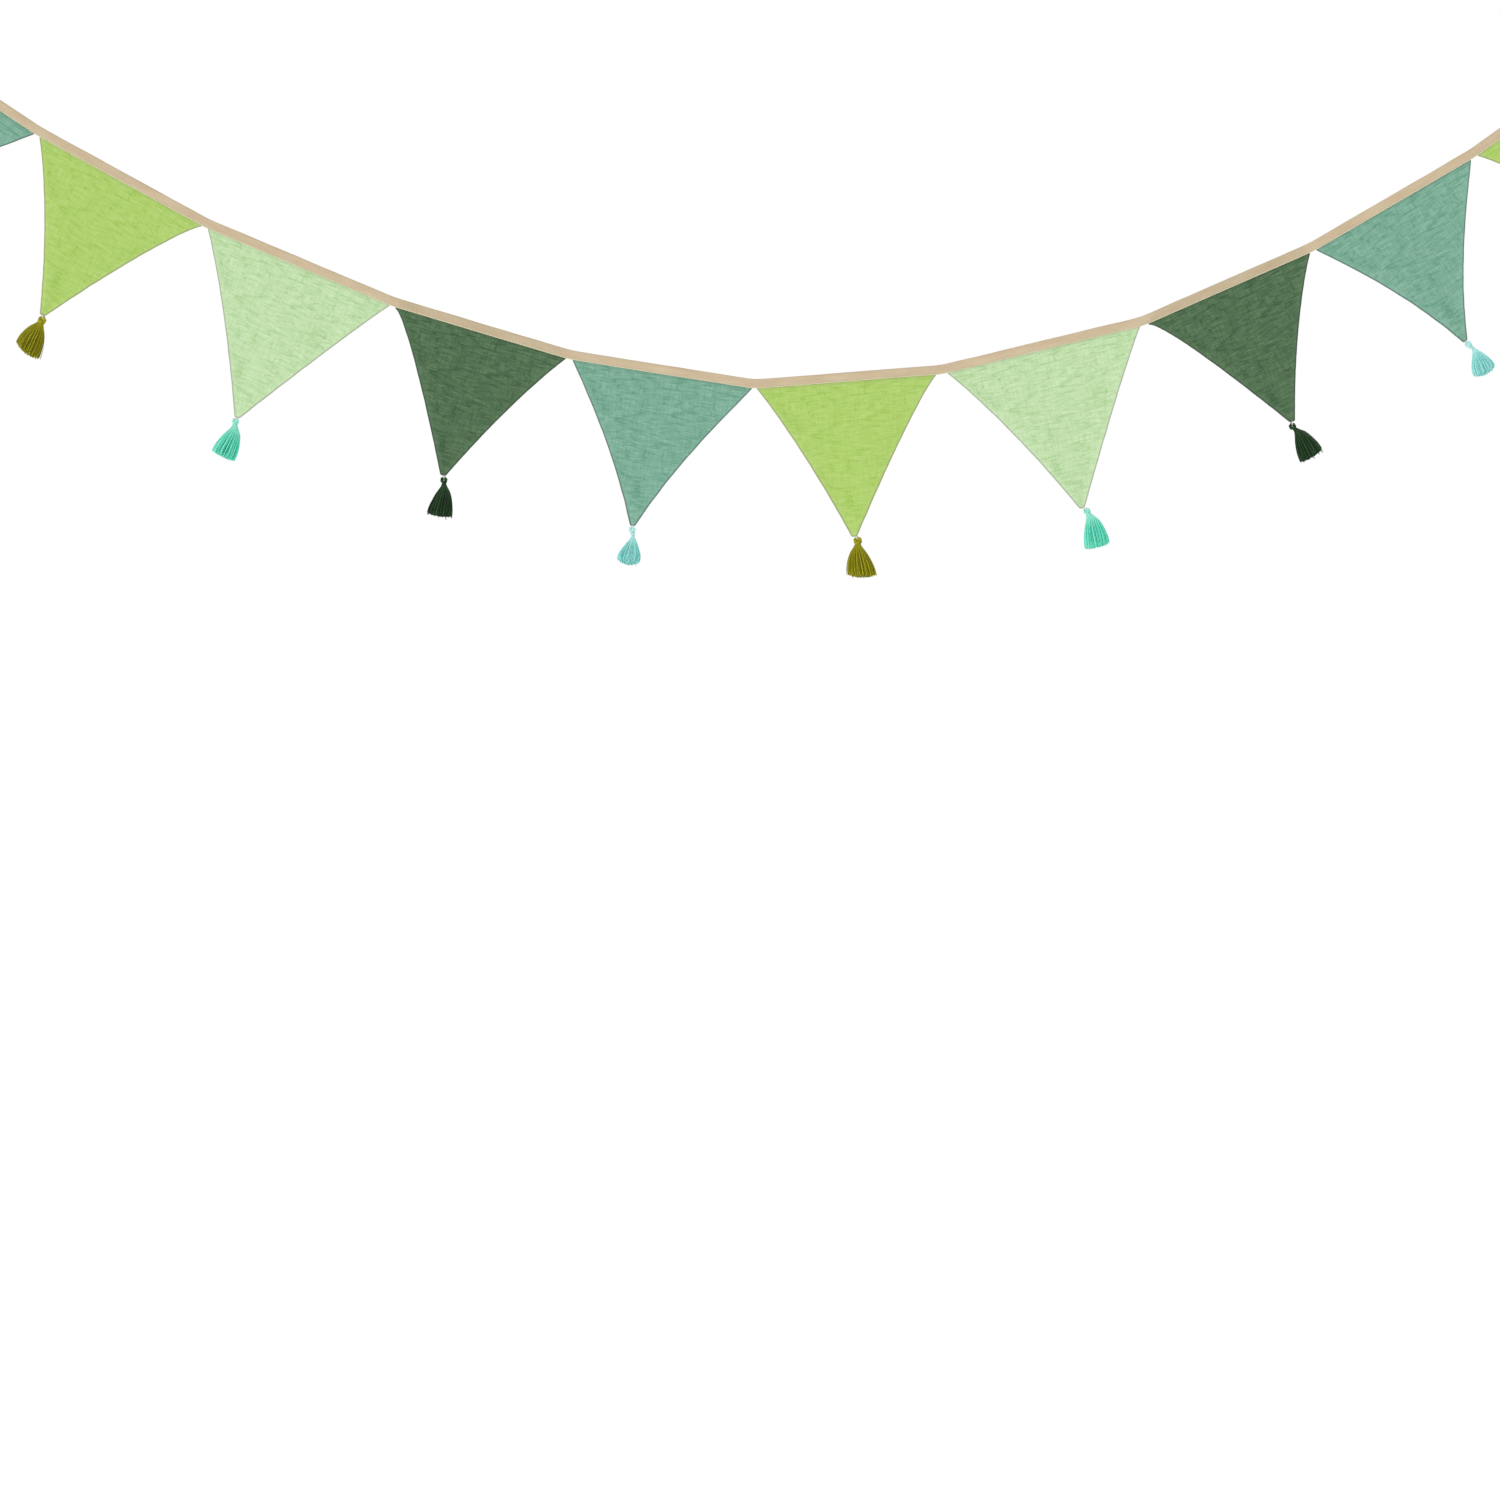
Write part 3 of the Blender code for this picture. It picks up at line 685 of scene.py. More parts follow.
# %% Shape the tape's section
STITCH = 3.0 * MM
STITCH_GAP = 0.4 * MM
STITCH_PITCH = STITCH + STITCH_GAP
STITCH_HEIGHT = 1.35 * MM  # above the lower edge
STITCH_PULL = 0.24 * MM
STITCH_DENT = 0.7 * MM  # how far up and down the pull reaches
PULL_LOST = 0.55  # how much of it is lost between two holes
SCALLOP = 0.28 * MM  # how far the lower edge rises at each hole
SCALLOP_FADE = 1.2 * MM
SLOT_OVER_CLOTH = 1.3 * MM  # room between the leaves where a pennant lies in it
SLOT_CLOSED = 0.4 * MM  # and where nothing does
SLOT_RAMP = 9 * MM  # length over which one becomes the other
LEAF = 0.95 * MM  # thickness of one leaf with its folded edge
DRAWN_UP = 1.0 * MM  # how far the stitching has drawn up the lower edge
LEAF_AT_STITCH = 0.72
# Heights up a leaf's outer face, and how thick the leaf is there as a share.
LEAF_PROFILE = (
    (0.0 * MM, 0.35),
    (0.12 * MM, 0.72),
    (0.5 * MM, 1.0),
    (0.95 * MM, 0.96),
    (STITCH_HEIGHT, LEAF_AT_STITCH),
    (1.8 * MM, 0.94),
    (2.8 * MM, 1.02),
    (5.0 * MM, 1.0),
    (7.6 * MM, 1.0),
)
FOLD_ANGLES = (0, 30, 60, 90, 120, 150, 180)
INNER_HEIGHTS = (0.25 * MM, 3 * MM, 7 * MM)
INNER_TOP = 0.9  # how far the inside goes up into the fold, as a share of half the room


def drawn_up(height):
    """Where a height on the tape comes to lie, now that the stitching has drawn up the lower edge."""
    return height * (1 - DRAWN_UP / TAPE_HEIGHT) + DRAWN_UP


def room_in_tape(along):
    """The room between the leaves: wide over a pennant, closed between pennants and on the tails."""
    nearest = min(max(first - along, along - last, 0) for first, last in SPANS)
    return SLOT_OVER_CLOTH + (SLOT_CLOSED - SLOT_OVER_CLOTH) * smooth(nearest / SLOT_RAMP)


def tape_section(along):
    """(height, depth, height on the leaf) of each point round the section here."""
    room = room_in_tape(along) / 2
    beat = abs(math.sin(math.pi * along / STITCH_PITCH))
    lift = SCALLOP * (1 - beat)
    pull = STITCH_PULL * (1 - PULL_LOST * beat)
    outer = []
    for height, share in LEAF_PROFILE:
        drawn_in = pull * math.exp(-(((height - STITCH_HEIGHT) / STITCH_DENT) ** 2))
        lifted = height + lift * max(0, 1 - height / SCALLOP_FADE)
        outer.append((lifted, room + LEAF * share - drawn_in, height))
    bend = room + LEAF
    middle = TAPE_HEIGHT - bend
    over = []
    for angle in FOLD_ANGLES:
        height = middle + bend * math.sin(math.radians(angle))
        over.append((height, -bend * math.cos(math.radians(angle)), height))
    front = [(height, -depth, leaf) for height, depth, leaf in outer]
    inside_back = [(height + lift, room, height) for height in INNER_HEIGHTS]
    inside_top = [(middle + room * INNER_TOP, 0, middle)]
    inside_front = [(height + lift, -room, height) for height in reversed(INNER_HEIGHTS)]
    return front + over + outer[::-1] + inside_back + inside_top + inside_front


print("points round the tape:", len(tape_section(0)))

# %% Lay out the folded tape
SECTIONS_PER_STITCH = 4
TAPE_WAVER = (0.25 * MM, 30 * MM)  # how uneven the upper edge is, and over what length
TAPE_RIPPLE = (0.22 * MM, 9 * MM)  # the same, from front to back
BACK_SHIFT = 20 * MM  # the back shows another part of the cloth's pattern
SHOWS_THROUGH = {"forest": 0.09}  # how much of a dark cloth shows through the tape


def cloth_under(along):
    """How much of the cloth inside shows through the tape here."""
    shares = []
    for pennant, (first, last) in zip(ROW, SPANS):
        inside = smooth((along - first) / SLOT_RAMP) * smooth((last - along) / SLOT_RAMP)
        shares.append(SHOWS_THROUGH.get(pennant.cloth, 0) * inside)
    return max(shares)


section_count = round(TAPE_LENGTH / STITCH_PITCH * SECTIONS_PER_STITCH)
verts, flats, unders = [], [], []
for i in range(section_count + 1):
    along = TAPE_LENGTH * i / section_count
    edge, up = line_at(along), line_up(along)
    waver = TAPE_WAVER[0] * noise.noise(Vector((along / TAPE_WAVER[1], 0, 3)))
    ripple = TAPE_RIPPLE[0] * noise.noise(Vector((along / TAPE_RIPPLE[1], 0, 8)))
    for height, depth, leaf in tape_section(along):
        loose = height / TAPE_HEIGHT
        back = line_depth(along) + depth + ripple * loose
        verts.append(edge + up * (drawn_up(height) + waver * loose) + Vector((0, back, 0)))
        flats.append((along, leaf + (BACK_SHIFT if depth > 0 else 0), leaf))
        unders.append(cloth_under(along))
ring = len(tape_section(0))
faces = []
for i in range(section_count):
    for j in range(ring):
        a, b = i * ring + j, i * ring + (j + 1) % ring
        faces.append((a, a + ring, b + ring, b))
faces.append(tuple(range(ring)))
faces.append(tuple(reversed(range(section_count * ring, (section_count + 1) * ring))))
tape = sheet_object("cotton_tape", verts, faces, flats, binding)
tape.data.attributes.new("under", "FLOAT", "POINT").data.foreach_set("value", unders)
print("tape sections:", section_count, "faces:", len(faces))

# %% [markdown]
# ## Running a Geometry Nodes tree
#
# What repeats along a path, such as a stitch or a thread, is made with Geometry Nodes: a small tree of
# steps with named inputs. A modifier runs the tree, and its inputs are set by the socket's identifier. The
# result is then kept as a plain mesh, which any program can read.

# %% Start a tree, and keep what it makes


def new_tree(name, inputs):
    """An empty tree with a geometry output and these inputs: name, kind of socket, and usual value."""
    tree = bpy.data.node_groups.new(name, "GeometryNodeTree")
    tree.interface.new_socket("Geometry", in_out="OUTPUT", socket_type="NodeSocketGeometry")
    for label, kind, usual in inputs:
        socket = tree.interface.new_socket(label, in_out="INPUT", socket_type=f"NodeSocket{kind}")
        if usual is not None:
            socket.default_value = usual
    return tree, add(tree, "NodeGroupInput").outputs


def end_tree(tree, geometry, material):
    """The last steps of each tree: smooth shading, real geometry instead of instances, and the material."""
    shaded = add(tree, "GeometryNodeSetShadeSmooth", {"Geometry": geometry})
    real = add(tree, "GeometryNodeRealizeInstances", {"Geometry": shaded})
    finished = add(tree, "GeometryNodeSetMaterial", {"Geometry": real, "Material": material})
    add(tree, "NodeGroupOutput", {"Geometry": finished})


def run_tree(name, tree, values, mesh=None):
    """Runs a tree on a mesh, and keeps the result as an object of this name with a plain mesh."""
    source = bpy.data.objects.new(f"{name}_source", mesh or bpy.data.meshes.new(f"{name}_source"))
    scene.collection.objects.link(source)
    modifier = source.modifiers.new(tree.name, "NODES")
    modifier.node_group = tree
    for item in tree.interface.items_tree:
        if item.in_out == "INPUT" and item.name in values:
            modifier[item.identifier] = values[item.name]
    graph = bpy.context.evaluated_depsgraph_get()
    result = bpy.data.meshes.new_from_object(source.evaluated_get(graph))
    result.name = name
    source.modifiers.remove(modifier)
    bpy.data.objects.remove(source)
    obj = bpy.data.objects.new(name, result)
    scene.collection.objects.link(obj)
    return obj


def lines_mesh(name, lines, closed=False, shades=None):
    """A mesh of bare edges: one chain for each list of points, each with its own shade from 0 to 1."""
    verts, edges, shade_of = [], [], []
    for number, line in enumerate(lines):
        first = len(verts)
        verts += line
        edges += [(first + i, first + i + 1) for i in range(len(line) - 1)]
        if closed:
            edges.append((first + len(line) - 1, first))
        shade_of += [shades[number] if shades else 0.5] * len(line)
    mesh = bpy.data.meshes.new(name)
    mesh.from_pydata(verts, edges, [])
    mesh.attributes.new("shade", "FLOAT", "POINT").data.foreach_set("value", shade_of)
    return mesh


print("trees ready")

# %% [markdown]
# ## Sewing thread
#
# Two sewing threads show: a beige one in the tape, spun from short polyester fibres, which leave it dull
# with a trace of fuzz, and a white cotton one that ties the tassels on. Both are two or three plies
# twisted together, which the eye reads as small lighter and darker patches along the thread. These are
# painted into the colour as light and shade.

# %% Spin the sewing threads
SEWING_TWIST = 0.4 * MM


def make_sewing_thread(name, dark, light, roughness, sheen):
    """Dull thread, painted lighter and darker from ply to ply."""
    material, tree, shader = new_material(name, {"Roughness": roughness, "Sheen Weight": sheen})
    place = add(tree, "ShaderNodeTexCoord").outputs["Object"]
    ply = add(tree, "ShaderNodeTexNoise", {"Vector": place, "Scale": 1 / SEWING_TWIST, "Detail": 2})
    tones = add(tree, "ShaderNodeValToRGB", {"Fac": ply})
    tones.color_ramp.elements[0].color = colour(dark)
    tones.color_ramp.elements[1].color = colour(light)
    tree.links.new(tones.outputs["Color"], shader.inputs["Base Color"])
    return material


sewing = make_sewing_thread("spun polyester sewing thread beige", "C3A988", "E3D0B4", 0.6, 0.2)
cotton_white = make_sewing_thread("cotton sewing thread white", "DDE3DA", "FAFCF7", 0.7, 0.0)
print("sewing threads:", sewing.name, "and", cotton_white.name)

# %% [markdown]
# ## Topstitching
#
# A row of lockstitch runs the length of the tape, just above its lower edge, and shows on both faces. One
# stitch is a short length of thread, a third of a millimetre thick, that dips into the cloth at both ends.
# The tree puts one on the path every 3.4 mm, turned along the path, with its arch away from the cloth. A
# dashed line in the material would be flat, and would not catch the light.

# %% Build the stitch tree
SEWING_THREAD = 0.36 * MM
STITCH_POINTS = 6
STITCH_SIDES = 5

stitching, given = new_tree(
    "row of stitches",
    [
        ("Path", "Geometry", None),
        ("Stitch", "Float", STITCH),
        ("Pitch", "Float", STITCH_PITCH),
        ("Thread diameter", "Float", SEWING_THREAD),
        ("Outwards", "Vector", (0, -1, 0)),
        ("Thread", "Material", None),
    ],
)
t = stitching
path = add(t, "GeometryNodeMeshToCurve", {"Mesh": given["Path"]})
path = add(t, "GeometryNodeResampleCurve", {"Curve": path}, mode="LENGTH")
t.links.new(given["Pitch"], shown_socket(path.inputs, "Length"))
half_stitch = add(t, "ShaderNodeMath", {0: given["Stitch"], 1: 0.5}, operation="MULTIPLY")
start = add(t, "ShaderNodeMath", {0: half_stitch, 1: -1}, operation="MULTIPLY")
start = add(t, "ShaderNodeCombineXYZ", {"X": start})
end = add(t, "ShaderNodeCombineXYZ", {"X": half_stitch})
single = add(t, "GeometryNodeCurvePrimitiveLine", {"Start": start, "End": end})
single = add(t, "GeometryNodeResampleCurve", {"Curve": single, "Count": STITCH_POINTS}, mode="COUNT")
along_stitch = add(t, "GeometryNodeSplineParameter").outputs["Factor"]
arch = add(t, "ShaderNodeMath", {0: along_stitch, 1: math.pi}, operation="MULTIPLY")
arch = add(t, "ShaderNodeMath", {0: arch}, operation="SINE")
arch = add(t, "ShaderNodeMath", {0: arch, 1: given["Thread diameter"]}, operation="MULTIPLY")
arch = add(t, "ShaderNodeCombineXYZ", {"Z": arch})
single = add(t, "GeometryNodeSetPosition", {"Geometry": single, "Offset": arch})
radius = add(t, "ShaderNodeMath", {0: given["Thread diameter"], 1: 0.5}, operation="MULTIPLY")
section = add(t, "GeometryNodeCurvePrimitiveCircle", {"Resolution": STITCH_SIDES, "Radius": radius})
swept = {"Curve": single, "Profile Curve": section, "Fill Caps": True}
single = add(t, "GeometryNodeCurveToMesh", swept)
tangent = add(t, "GeometryNodeInputTangent")
turned = add(t, "FunctionNodeAlignRotationToVector", {"Vector": tangent}, axis="X")
outward = {"Rotation": turned, "Vector": given["Outwards"]}
turned = add(t, "FunctionNodeAlignRotationToVector", outward, axis="Z", pivot_axis="X")
row = add(t, "GeometryNodeInstanceOnPoints", {"Points": path, "Instance": single, "Rotation": turned})
end_tree(t, row, given["Thread"])
print("stitch tree nodes:", len(t.nodes))

# %% Sew the tape
PATH_STEP = 2 * MM
STITCH_SINK = 0.7  # how much of the stitches' pull the thread itself follows

stitches = {}
for face, side in (("front", -1), ("back", 1)):
    points = []
    for i in range(round(TAPE_LENGTH / PATH_STEP) + 1):
        along = min(STITCH_PITCH / 2 + i * PATH_STEP, TAPE_LENGTH - STITCH_PITCH / 2)
        depth = room_in_tape(along) / 2 + LEAF * LEAF_AT_STITCH - STITCH_PULL * STITCH_SINK
        back = Vector((0, line_depth(along) + side * depth, 0))
        points.append(line_at(along) + line_up(along) * drawn_up(STITCH_HEIGHT) + back)
    stitches[face] = run_tree(
        f"topstitch_{face}",
        stitching,
        {"Thread": sewing, "Outwards": (0, side, 0)},
        lines_mesh("stitch_path", [points]),
    )
    print(face, "stitch faces:", len(stitches[face].data.polygons))

# %% [markdown]
# ## Viscose thread
#
# Tassels like these are wound from viscose embroidery thread. It is spun from very long fibres, so it is
# smooth and shines along its length, and the light catches some threads and leaves others dark. That light
# and shade is painted: each thread carries a shade attribute from 0 to 1, and the ramp turns that into its
# colour. Share is 0 at the neck and 1 at the cut ends, and the head gets a paler painted highlight, where
# the threads lie tight and catch more light.

# %% Dye the threads, and paint their light and shade
THREAD_TWIST = 0.9 * MM  # drawn; the ply of the real thread turns every 0.5 mm or so
VISCOSE_FINISH = {"Roughness": 0.5, "IOR": 1.52, "Specular IOR Level": 0.2}
BODY_TONE = 0.45  # where the body's colour lies between dark and bright threads
HEAD_HIGHLIGHT_REACH = (0.05, 0.5)  # the head's painted highlight fades over these shares of the length
HEAD_HIGHLIGHT_STRENGTH = 0.5
THREADS = {  # threads in painted shade, body, threads in painted highlight, head with its painted highlight
    "ice": ("84E4DE", "A2F4EE", "D6FEFB", "DAF6F3"),
    "olive": ("7A7500", "9F9C04", "C8C433", "A09A0A"),
    "aqua": ("4CE0BE", "6AF6D8", "B0FFEC", "BCEEE0"),
    "forest": ("112810", "203F20", "42663F", "2A4C2C"),
}


def make_viscose(name, dark, body, bright, head_highlight):
    """Smooth thread with a soft shine. Each thread is painted lighter or darker by its shade, and the head
    gets a paler painted highlight.
    """
    material, tree, shader = new_material(f"viscose thread {name}", VISCOSE_FINISH)
    shade = add(tree, "ShaderNodeAttribute", attribute_name="shade").outputs["Fac"]
    share = add(tree, "ShaderNodeAttribute", attribute_name="share").outputs["Fac"]
    tones = add(tree, "ShaderNodeValToRGB", {"Fac": shade})
    tones.color_ramp.elements[0].color = colour(dark)
    tones.color_ramp.elements[1].color = colour(bright)
    tones.color_ramp.elements.new(BODY_TONE).color = colour(body)
    # Painted highlight on the head, fading towards the cut ends.
    start, end = HEAD_HIGHLIGHT_REACH
    faded = {"Value": share, "From Min": start, "From Max": end, "To Min": HEAD_HIGHLIGHT_STRENGTH, "To Max": 0}
    top = add(tree, "ShaderNodeMapRange", faded)
    dye_and_painted_light = add(tree, "ShaderNodeMix", {"Factor": top, "A": tones, "B": colour(head_highlight)}, data_type="RGBA")
    place = add(tree, "ShaderNodeTexCoord").outputs["Object"]
    ply = add(tree, "ShaderNodeTexNoise", {"Vector": place, "Scale": 1 / THREAD_TWIST, "Detail": 2})
    relief = add(tree, "ShaderNodeBump", {"Strength": 0.5, "Distance": 0.2 * MM, "Height": ply})
    tree.links.new(shown_socket(dye_and_painted_light.outputs), shader.inputs["Base Color"])
    tree.links.new(relief.outputs["Normal"], shader.inputs["Normal"])
    return material


viscoses = {name: make_viscose(name, *hexes) for name, hexes in THREADS.items()}
print("threads:", ", ".join(viscoses))

# %% [markdown]
# ## The skirt of a tassel
#
# A tassel starts as a hank of thread, hung on a short cord, bound under the cord and cut level. The
# threads leave the binding close together and spread as they fall. So one thread is a line from the neck
# to the cut end, and what changes from thread to thread is where in the bundle it lies.
#
# The tree makes one point for each thread and gives it a place in the bundle by the sunflower rule: each
# turns on from the last by the golden angle, a step further out, which fills an ellipse evenly. Then the
# threads are drawn together into locks with furrows between them, as thread clings to its neighbours. Each
# thread's shade is painted light and shade: partly at random, with a painted highlight along a lock's
# middle and painted shade towards the furrows. A curve in the tree says how wide the bundle is at each
# share of its length, as measured on the photograph. Random numbers with a fixed seed make the ends
# wander, and send a few strays out of line.

# %% State the skirt's sizes
GOLDEN_ANGLE = math.radians(137.508)
NECK_TOP = 6.3 * MM  # below the ring's top
SKIRT_LENGTH = 35.7 * MM
SKIRT_HALF = (13.1 * MM, 8.7 * MM)  # half width and half depth at the widest
SKIRT_THREAD = 0.62 * MM
SKIRT_THREADS = 460
THREAD_POINTS = 9
THREAD_SIDES = 4
CROWDING = 0.36  # below a half, more threads lie on the outside, where they show
SKIRT_LOCKS = 21
CLINGING = 0.75  # how much of the furrow between two locks is empty
SHADE_BASE = 0.33
# Painted light and shade that differs from thread to thread at random.
SHADE_BY_CHANCE = 0.34
SHADE_BY_LOCK = 0.42  # painted highlight along a lock's middle, painted shade towards the furrows
WANDER = (1, 1, 0.8)  # how far an end may wander along each axis, against the untidiness
STRAY_RARITY = 24  # the higher, the fewer threads stray
NECK_SHIFT = (0.2, 0.8)  # the neck leans to the ring over this share of the length, by this share
# Share of the length, and the bundle's width there as a share of the full width.
SKIRT_PROFILE = (
    (0.0, 0.145),
    (0.05, 0.165),
    (0.1, 0.245),
    (0.15, 0.33),
    (0.21, 0.44),
    (0.27, 0.53),
    (0.35, 0.635),
    (0.43, 0.725),
    (0.54, 0.82),
    (0.66, 0.91),
    (0.78, 0.975),
    (0.89, 1.0),
    (1.0, 0.99),
)
print("threads in ten skirts:", SKIRT_THREADS * len(ROW))

# %% Give each thread its place in the bundle
skirt_tree, given = new_tree(
    "skirt of threads",
    [
        ("Threads", "Int", SKIRT_THREADS),
        ("Thread diameter", "Float", SKIRT_THREAD),
        ("Length", "Float", SKIRT_LENGTH),
        ("Half width", "Float", SKIRT_HALF[0]),
        ("Half depth", "Float", SKIRT_HALF[1]),
        ("Droop", "Float", 1.0),
        ("Rounding", "Float", 0.08),
        ("Slant", "Float", 0.0),
        ("Aside", "Float", 0.0),
        ("Sway", "Float", 0.0),
        ("Untidiness", "Float", 1.1 * MM),
        ("Strays", "Float", 2.0),
        ("Place", "Vector", (0, 0, 0)),
        ("Turn", "Vector", (0, 0, 0)),
        ("Seed", "Int", 1),
        ("Thread", "Material", None),
    ],
)
t = skirt_tree
number = add(t, "GeometryNodeInputIndex")
outwards = add(t, "ShaderNodeMath", {0: number, 1: given["Threads"]}, operation="DIVIDE")
reach = add(t, "ShaderNodeMath", {0: outwards, 1: CROWDING}, operation="POWER")
angle = add(t, "ShaderNodeMath", {0: number, 1: GOLDEN_ANGLE}, operation="MULTIPLY")
in_locks = add(t, "ShaderNodeMath", {0: angle, 1: SKIRT_LOCKS}, operation="MULTIPLY")
furrow = add(t, "ShaderNodeMath", {0: in_locks}, operation="SINE")
drawn = {0: furrow, 1: -CLINGING / SKIRT_LOCKS, 2: angle}
angle = add(t, "ShaderNodeMath", drawn, operation="MULTIPLY_ADD")
# Painted light and shade of each thread: a random share, and the crest of its lock.
chance = add(t, "FunctionNodeRandomValue", {"Seed": given["Seed"]}, data_type="FLOAT")
crest = add(t, "ShaderNodeMath", {0: in_locks}, operation="COSINE")
by_chance = {0: chance, 1: SHADE_BY_CHANCE, 2: SHADE_BASE}
shade = add(t, "ShaderNodeMath", by_chance, operation="MULTIPLY_ADD")
shade = add(t, "ShaderNodeMath", {0: crest, 1: SHADE_BY_LOCK, 2: shade}, operation="MULTIPLY_ADD")
other_seed = add(t, "ShaderNodeMath", {0: given["Seed"], 1: 100}, operation="ADD")
ranges = {"Min": tuple(-reach for reach in WANDER), "Max": WANDER, "Seed": other_seed}
wander = add(t, "FunctionNodeRandomValue", ranges, data_type="FLOAT_VECTOR")
third_seed = add(t, "ShaderNodeMath", {0: given["Seed"], 1: 200}, operation="ADD")
luck = add(t, "FunctionNodeRandomValue", {"Seed": third_seed}, data_type="FLOAT")
rare = add(t, "ShaderNodeMath", {0: luck, 1: STRAY_RARITY}, operation="POWER")
stray = add(t, "ShaderNodeMath", {0: rare, 1: given["Strays"], 2: 1}, operation="MULTIPLY_ADD")

points = add(t, "GeometryNodePoints", {"Count": given["Threads"]})
for name, kind, value in (
    ("reach", "FLOAT", reach),
    ("angle", "FLOAT", angle),
    ("shade", "FLOAT", shade),
    ("wander", "FLOAT_VECTOR", wander),
    ("stray", "FLOAT", stray),
):
    stored = {"Geometry": points, "Name": name, "Value": value}
    points = add(t, "GeometryNodeStoreNamedAttribute", stored, data_type=kind)
line = add(t, "GeometryNodeCurvePrimitiveLine", {"End": (0, 0, -1)})
line = add(t, "GeometryNodeResampleCurve", {"Curve": line, "Count": THREAD_POINTS}, mode="COUNT")
threads = add(t, "GeometryNodeInstanceOnPoints", {"Points": points, "Instance": line})
threads = add(t, "GeometryNodeRealizeInstances", {"Geometry": threads})
share = add(t, "GeometryNodeSplineParameter").outputs["Factor"]
stored = {"Geometry": threads, "Name": "share", "Value": share}
threads = add(t, "GeometryNodeStoreNamedAttribute", stored, data_type="FLOAT")
print("attributes on a thread: reach, angle, shade, wander, stray, share")

# %% Let the threads fall
kinds = {"reach": "FLOAT", "angle": "FLOAT", "wander": "FLOAT_VECTOR", "stray": "FLOAT"}
kept = {
    name: add(t, "GeometryNodeInputNamedAttribute", {"Name": name}, data_type=kind)
    for name, kind in kinds.items()
}
spread = add(t, "ShaderNodeFloatCurve", {"Value": share})
curve = spread.mapping.curves[0]
curve.points[0].location = SKIRT_PROFILE[0]
curve.points[1].location = SKIRT_PROFILE[-1]
for place in SKIRT_PROFILE[1:-1]:
    curve.points.new(*place)
spread.mapping.update()

spread = add(t, "ShaderNodeMath", {0: spread, 1: given["Droop"]}, operation="POWER")
room = add(t, "ShaderNodeMath", {0: kept["reach"], 1: spread}, operation="MULTIPLY")
cosine = add(t, "ShaderNodeMath", {0: kept["angle"]}, operation="COSINE")
sine = add(t, "ShaderNodeMath", {0: kept["angle"]}, operation="SINE")
side = add(t, "ShaderNodeMath", {0: cosine, 1: room}, operation="MULTIPLY")
front = add(t, "ShaderNodeMath", {0: sine, 1: room}, operation="MULTIPLY")
late = add(t, "ShaderNodeMath", {0: share, 1: 2.0}, operation="POWER")
swayed = add(t, "ShaderNodeMath", {0: late, 1: given["Sway"]}, operation="MULTIPLY")
leant = {"Value": share, "From Max": NECK_SHIFT[0], "To Min": -NECK_SHIFT[1], "To Max": 0}
to_ring = add(t, "ShaderNodeMapRange", leant)
swayed = add(t, "ShaderNodeMath", {0: to_ring, 1: given["Aside"], 2: swayed}, operation="MULTIPLY_ADD")
x = add(t, "ShaderNodeMath", {0: side, 1: given["Half width"], 2: swayed}, operation="MULTIPLY_ADD")
y = add(t, "ShaderNodeMath", {0: front, 1: given["Half depth"]}, operation="MULTIPLY")
squared = add(t, "ShaderNodeMath", {0: kept["reach"], 1: 2.0}, operation="POWER")
shorter = add(t, "ShaderNodeMath", {0: squared, 1: given["Rounding"]}, operation="MULTIPLY")
across = add(t, "ShaderNodeMath", {0: cosine, 1: kept["reach"]}, operation="MULTIPLY")
slanted = add(t, "ShaderNodeMath", {0: across, 1: given["Slant"], 2: 1}, operation="MULTIPLY_ADD")
cut = add(t, "ShaderNodeMath", {0: slanted, 1: shorter}, operation="SUBTRACT")
fall = add(t, "ShaderNodeMath", {0: cut, 1: given["Length"]}, operation="MULTIPLY")
fallen = add(t, "ShaderNodeMath", {0: fall, 1: share}, operation="MULTIPLY")
z = add(t, "ShaderNodeMath", {0: -NECK_TOP, 1: fallen}, operation="SUBTRACT")
in_bundle = add(t, "ShaderNodeCombineXYZ", {"X": x, "Y": y, "Z": z})
loose = add(t, "ShaderNodeMath", {0: late, 1: given["Untidiness"]}, operation="MULTIPLY")
loose = add(t, "ShaderNodeMath", {0: loose, 1: kept["stray"]}, operation="MULTIPLY")
wandered = add(t, "ShaderNodeVectorMath", {0: kept["wander"], "Scale": loose}, operation="SCALE")
place = add(t, "ShaderNodeVectorMath", {0: in_bundle, 1: wandered}, operation="ADD")
threads = add(t, "GeometryNodeSetPosition", {"Geometry": threads, "Position": place})
radius = add(t, "ShaderNodeMath", {0: given["Thread diameter"], 1: 0.5}, operation="MULTIPLY")
section = add(t, "GeometryNodeCurvePrimitiveCircle", {"Resolution": THREAD_SIDES, "Radius": radius})
swept = {"Curve": threads, "Profile Curve": section, "Fill Caps": True}
threads = add(t, "GeometryNodeCurveToMesh", swept)
moved = {"Geometry": threads, "Translation": given["Place"], "Rotation": given["Turn"]}
hung = add(t, "GeometryNodeTransform", moved)
end_tree(t, hung, given["Thread"])
print("skirt tree nodes:", len(t.nodes))

# %% [markdown]
# ## The loop, the binding and the tie
#
# The cord that the hank hangs on is three thick threads twisted round a fourth and closed to a ring, so
# tight that its eye is all but shut. Under it the neck is wound with the same thread. A few turns of white
# sewing thread go through the pennant's tip and over the ring's cord. All three are threads that follow a
# line, so one tree serves for them: it gives a line of points a round section.

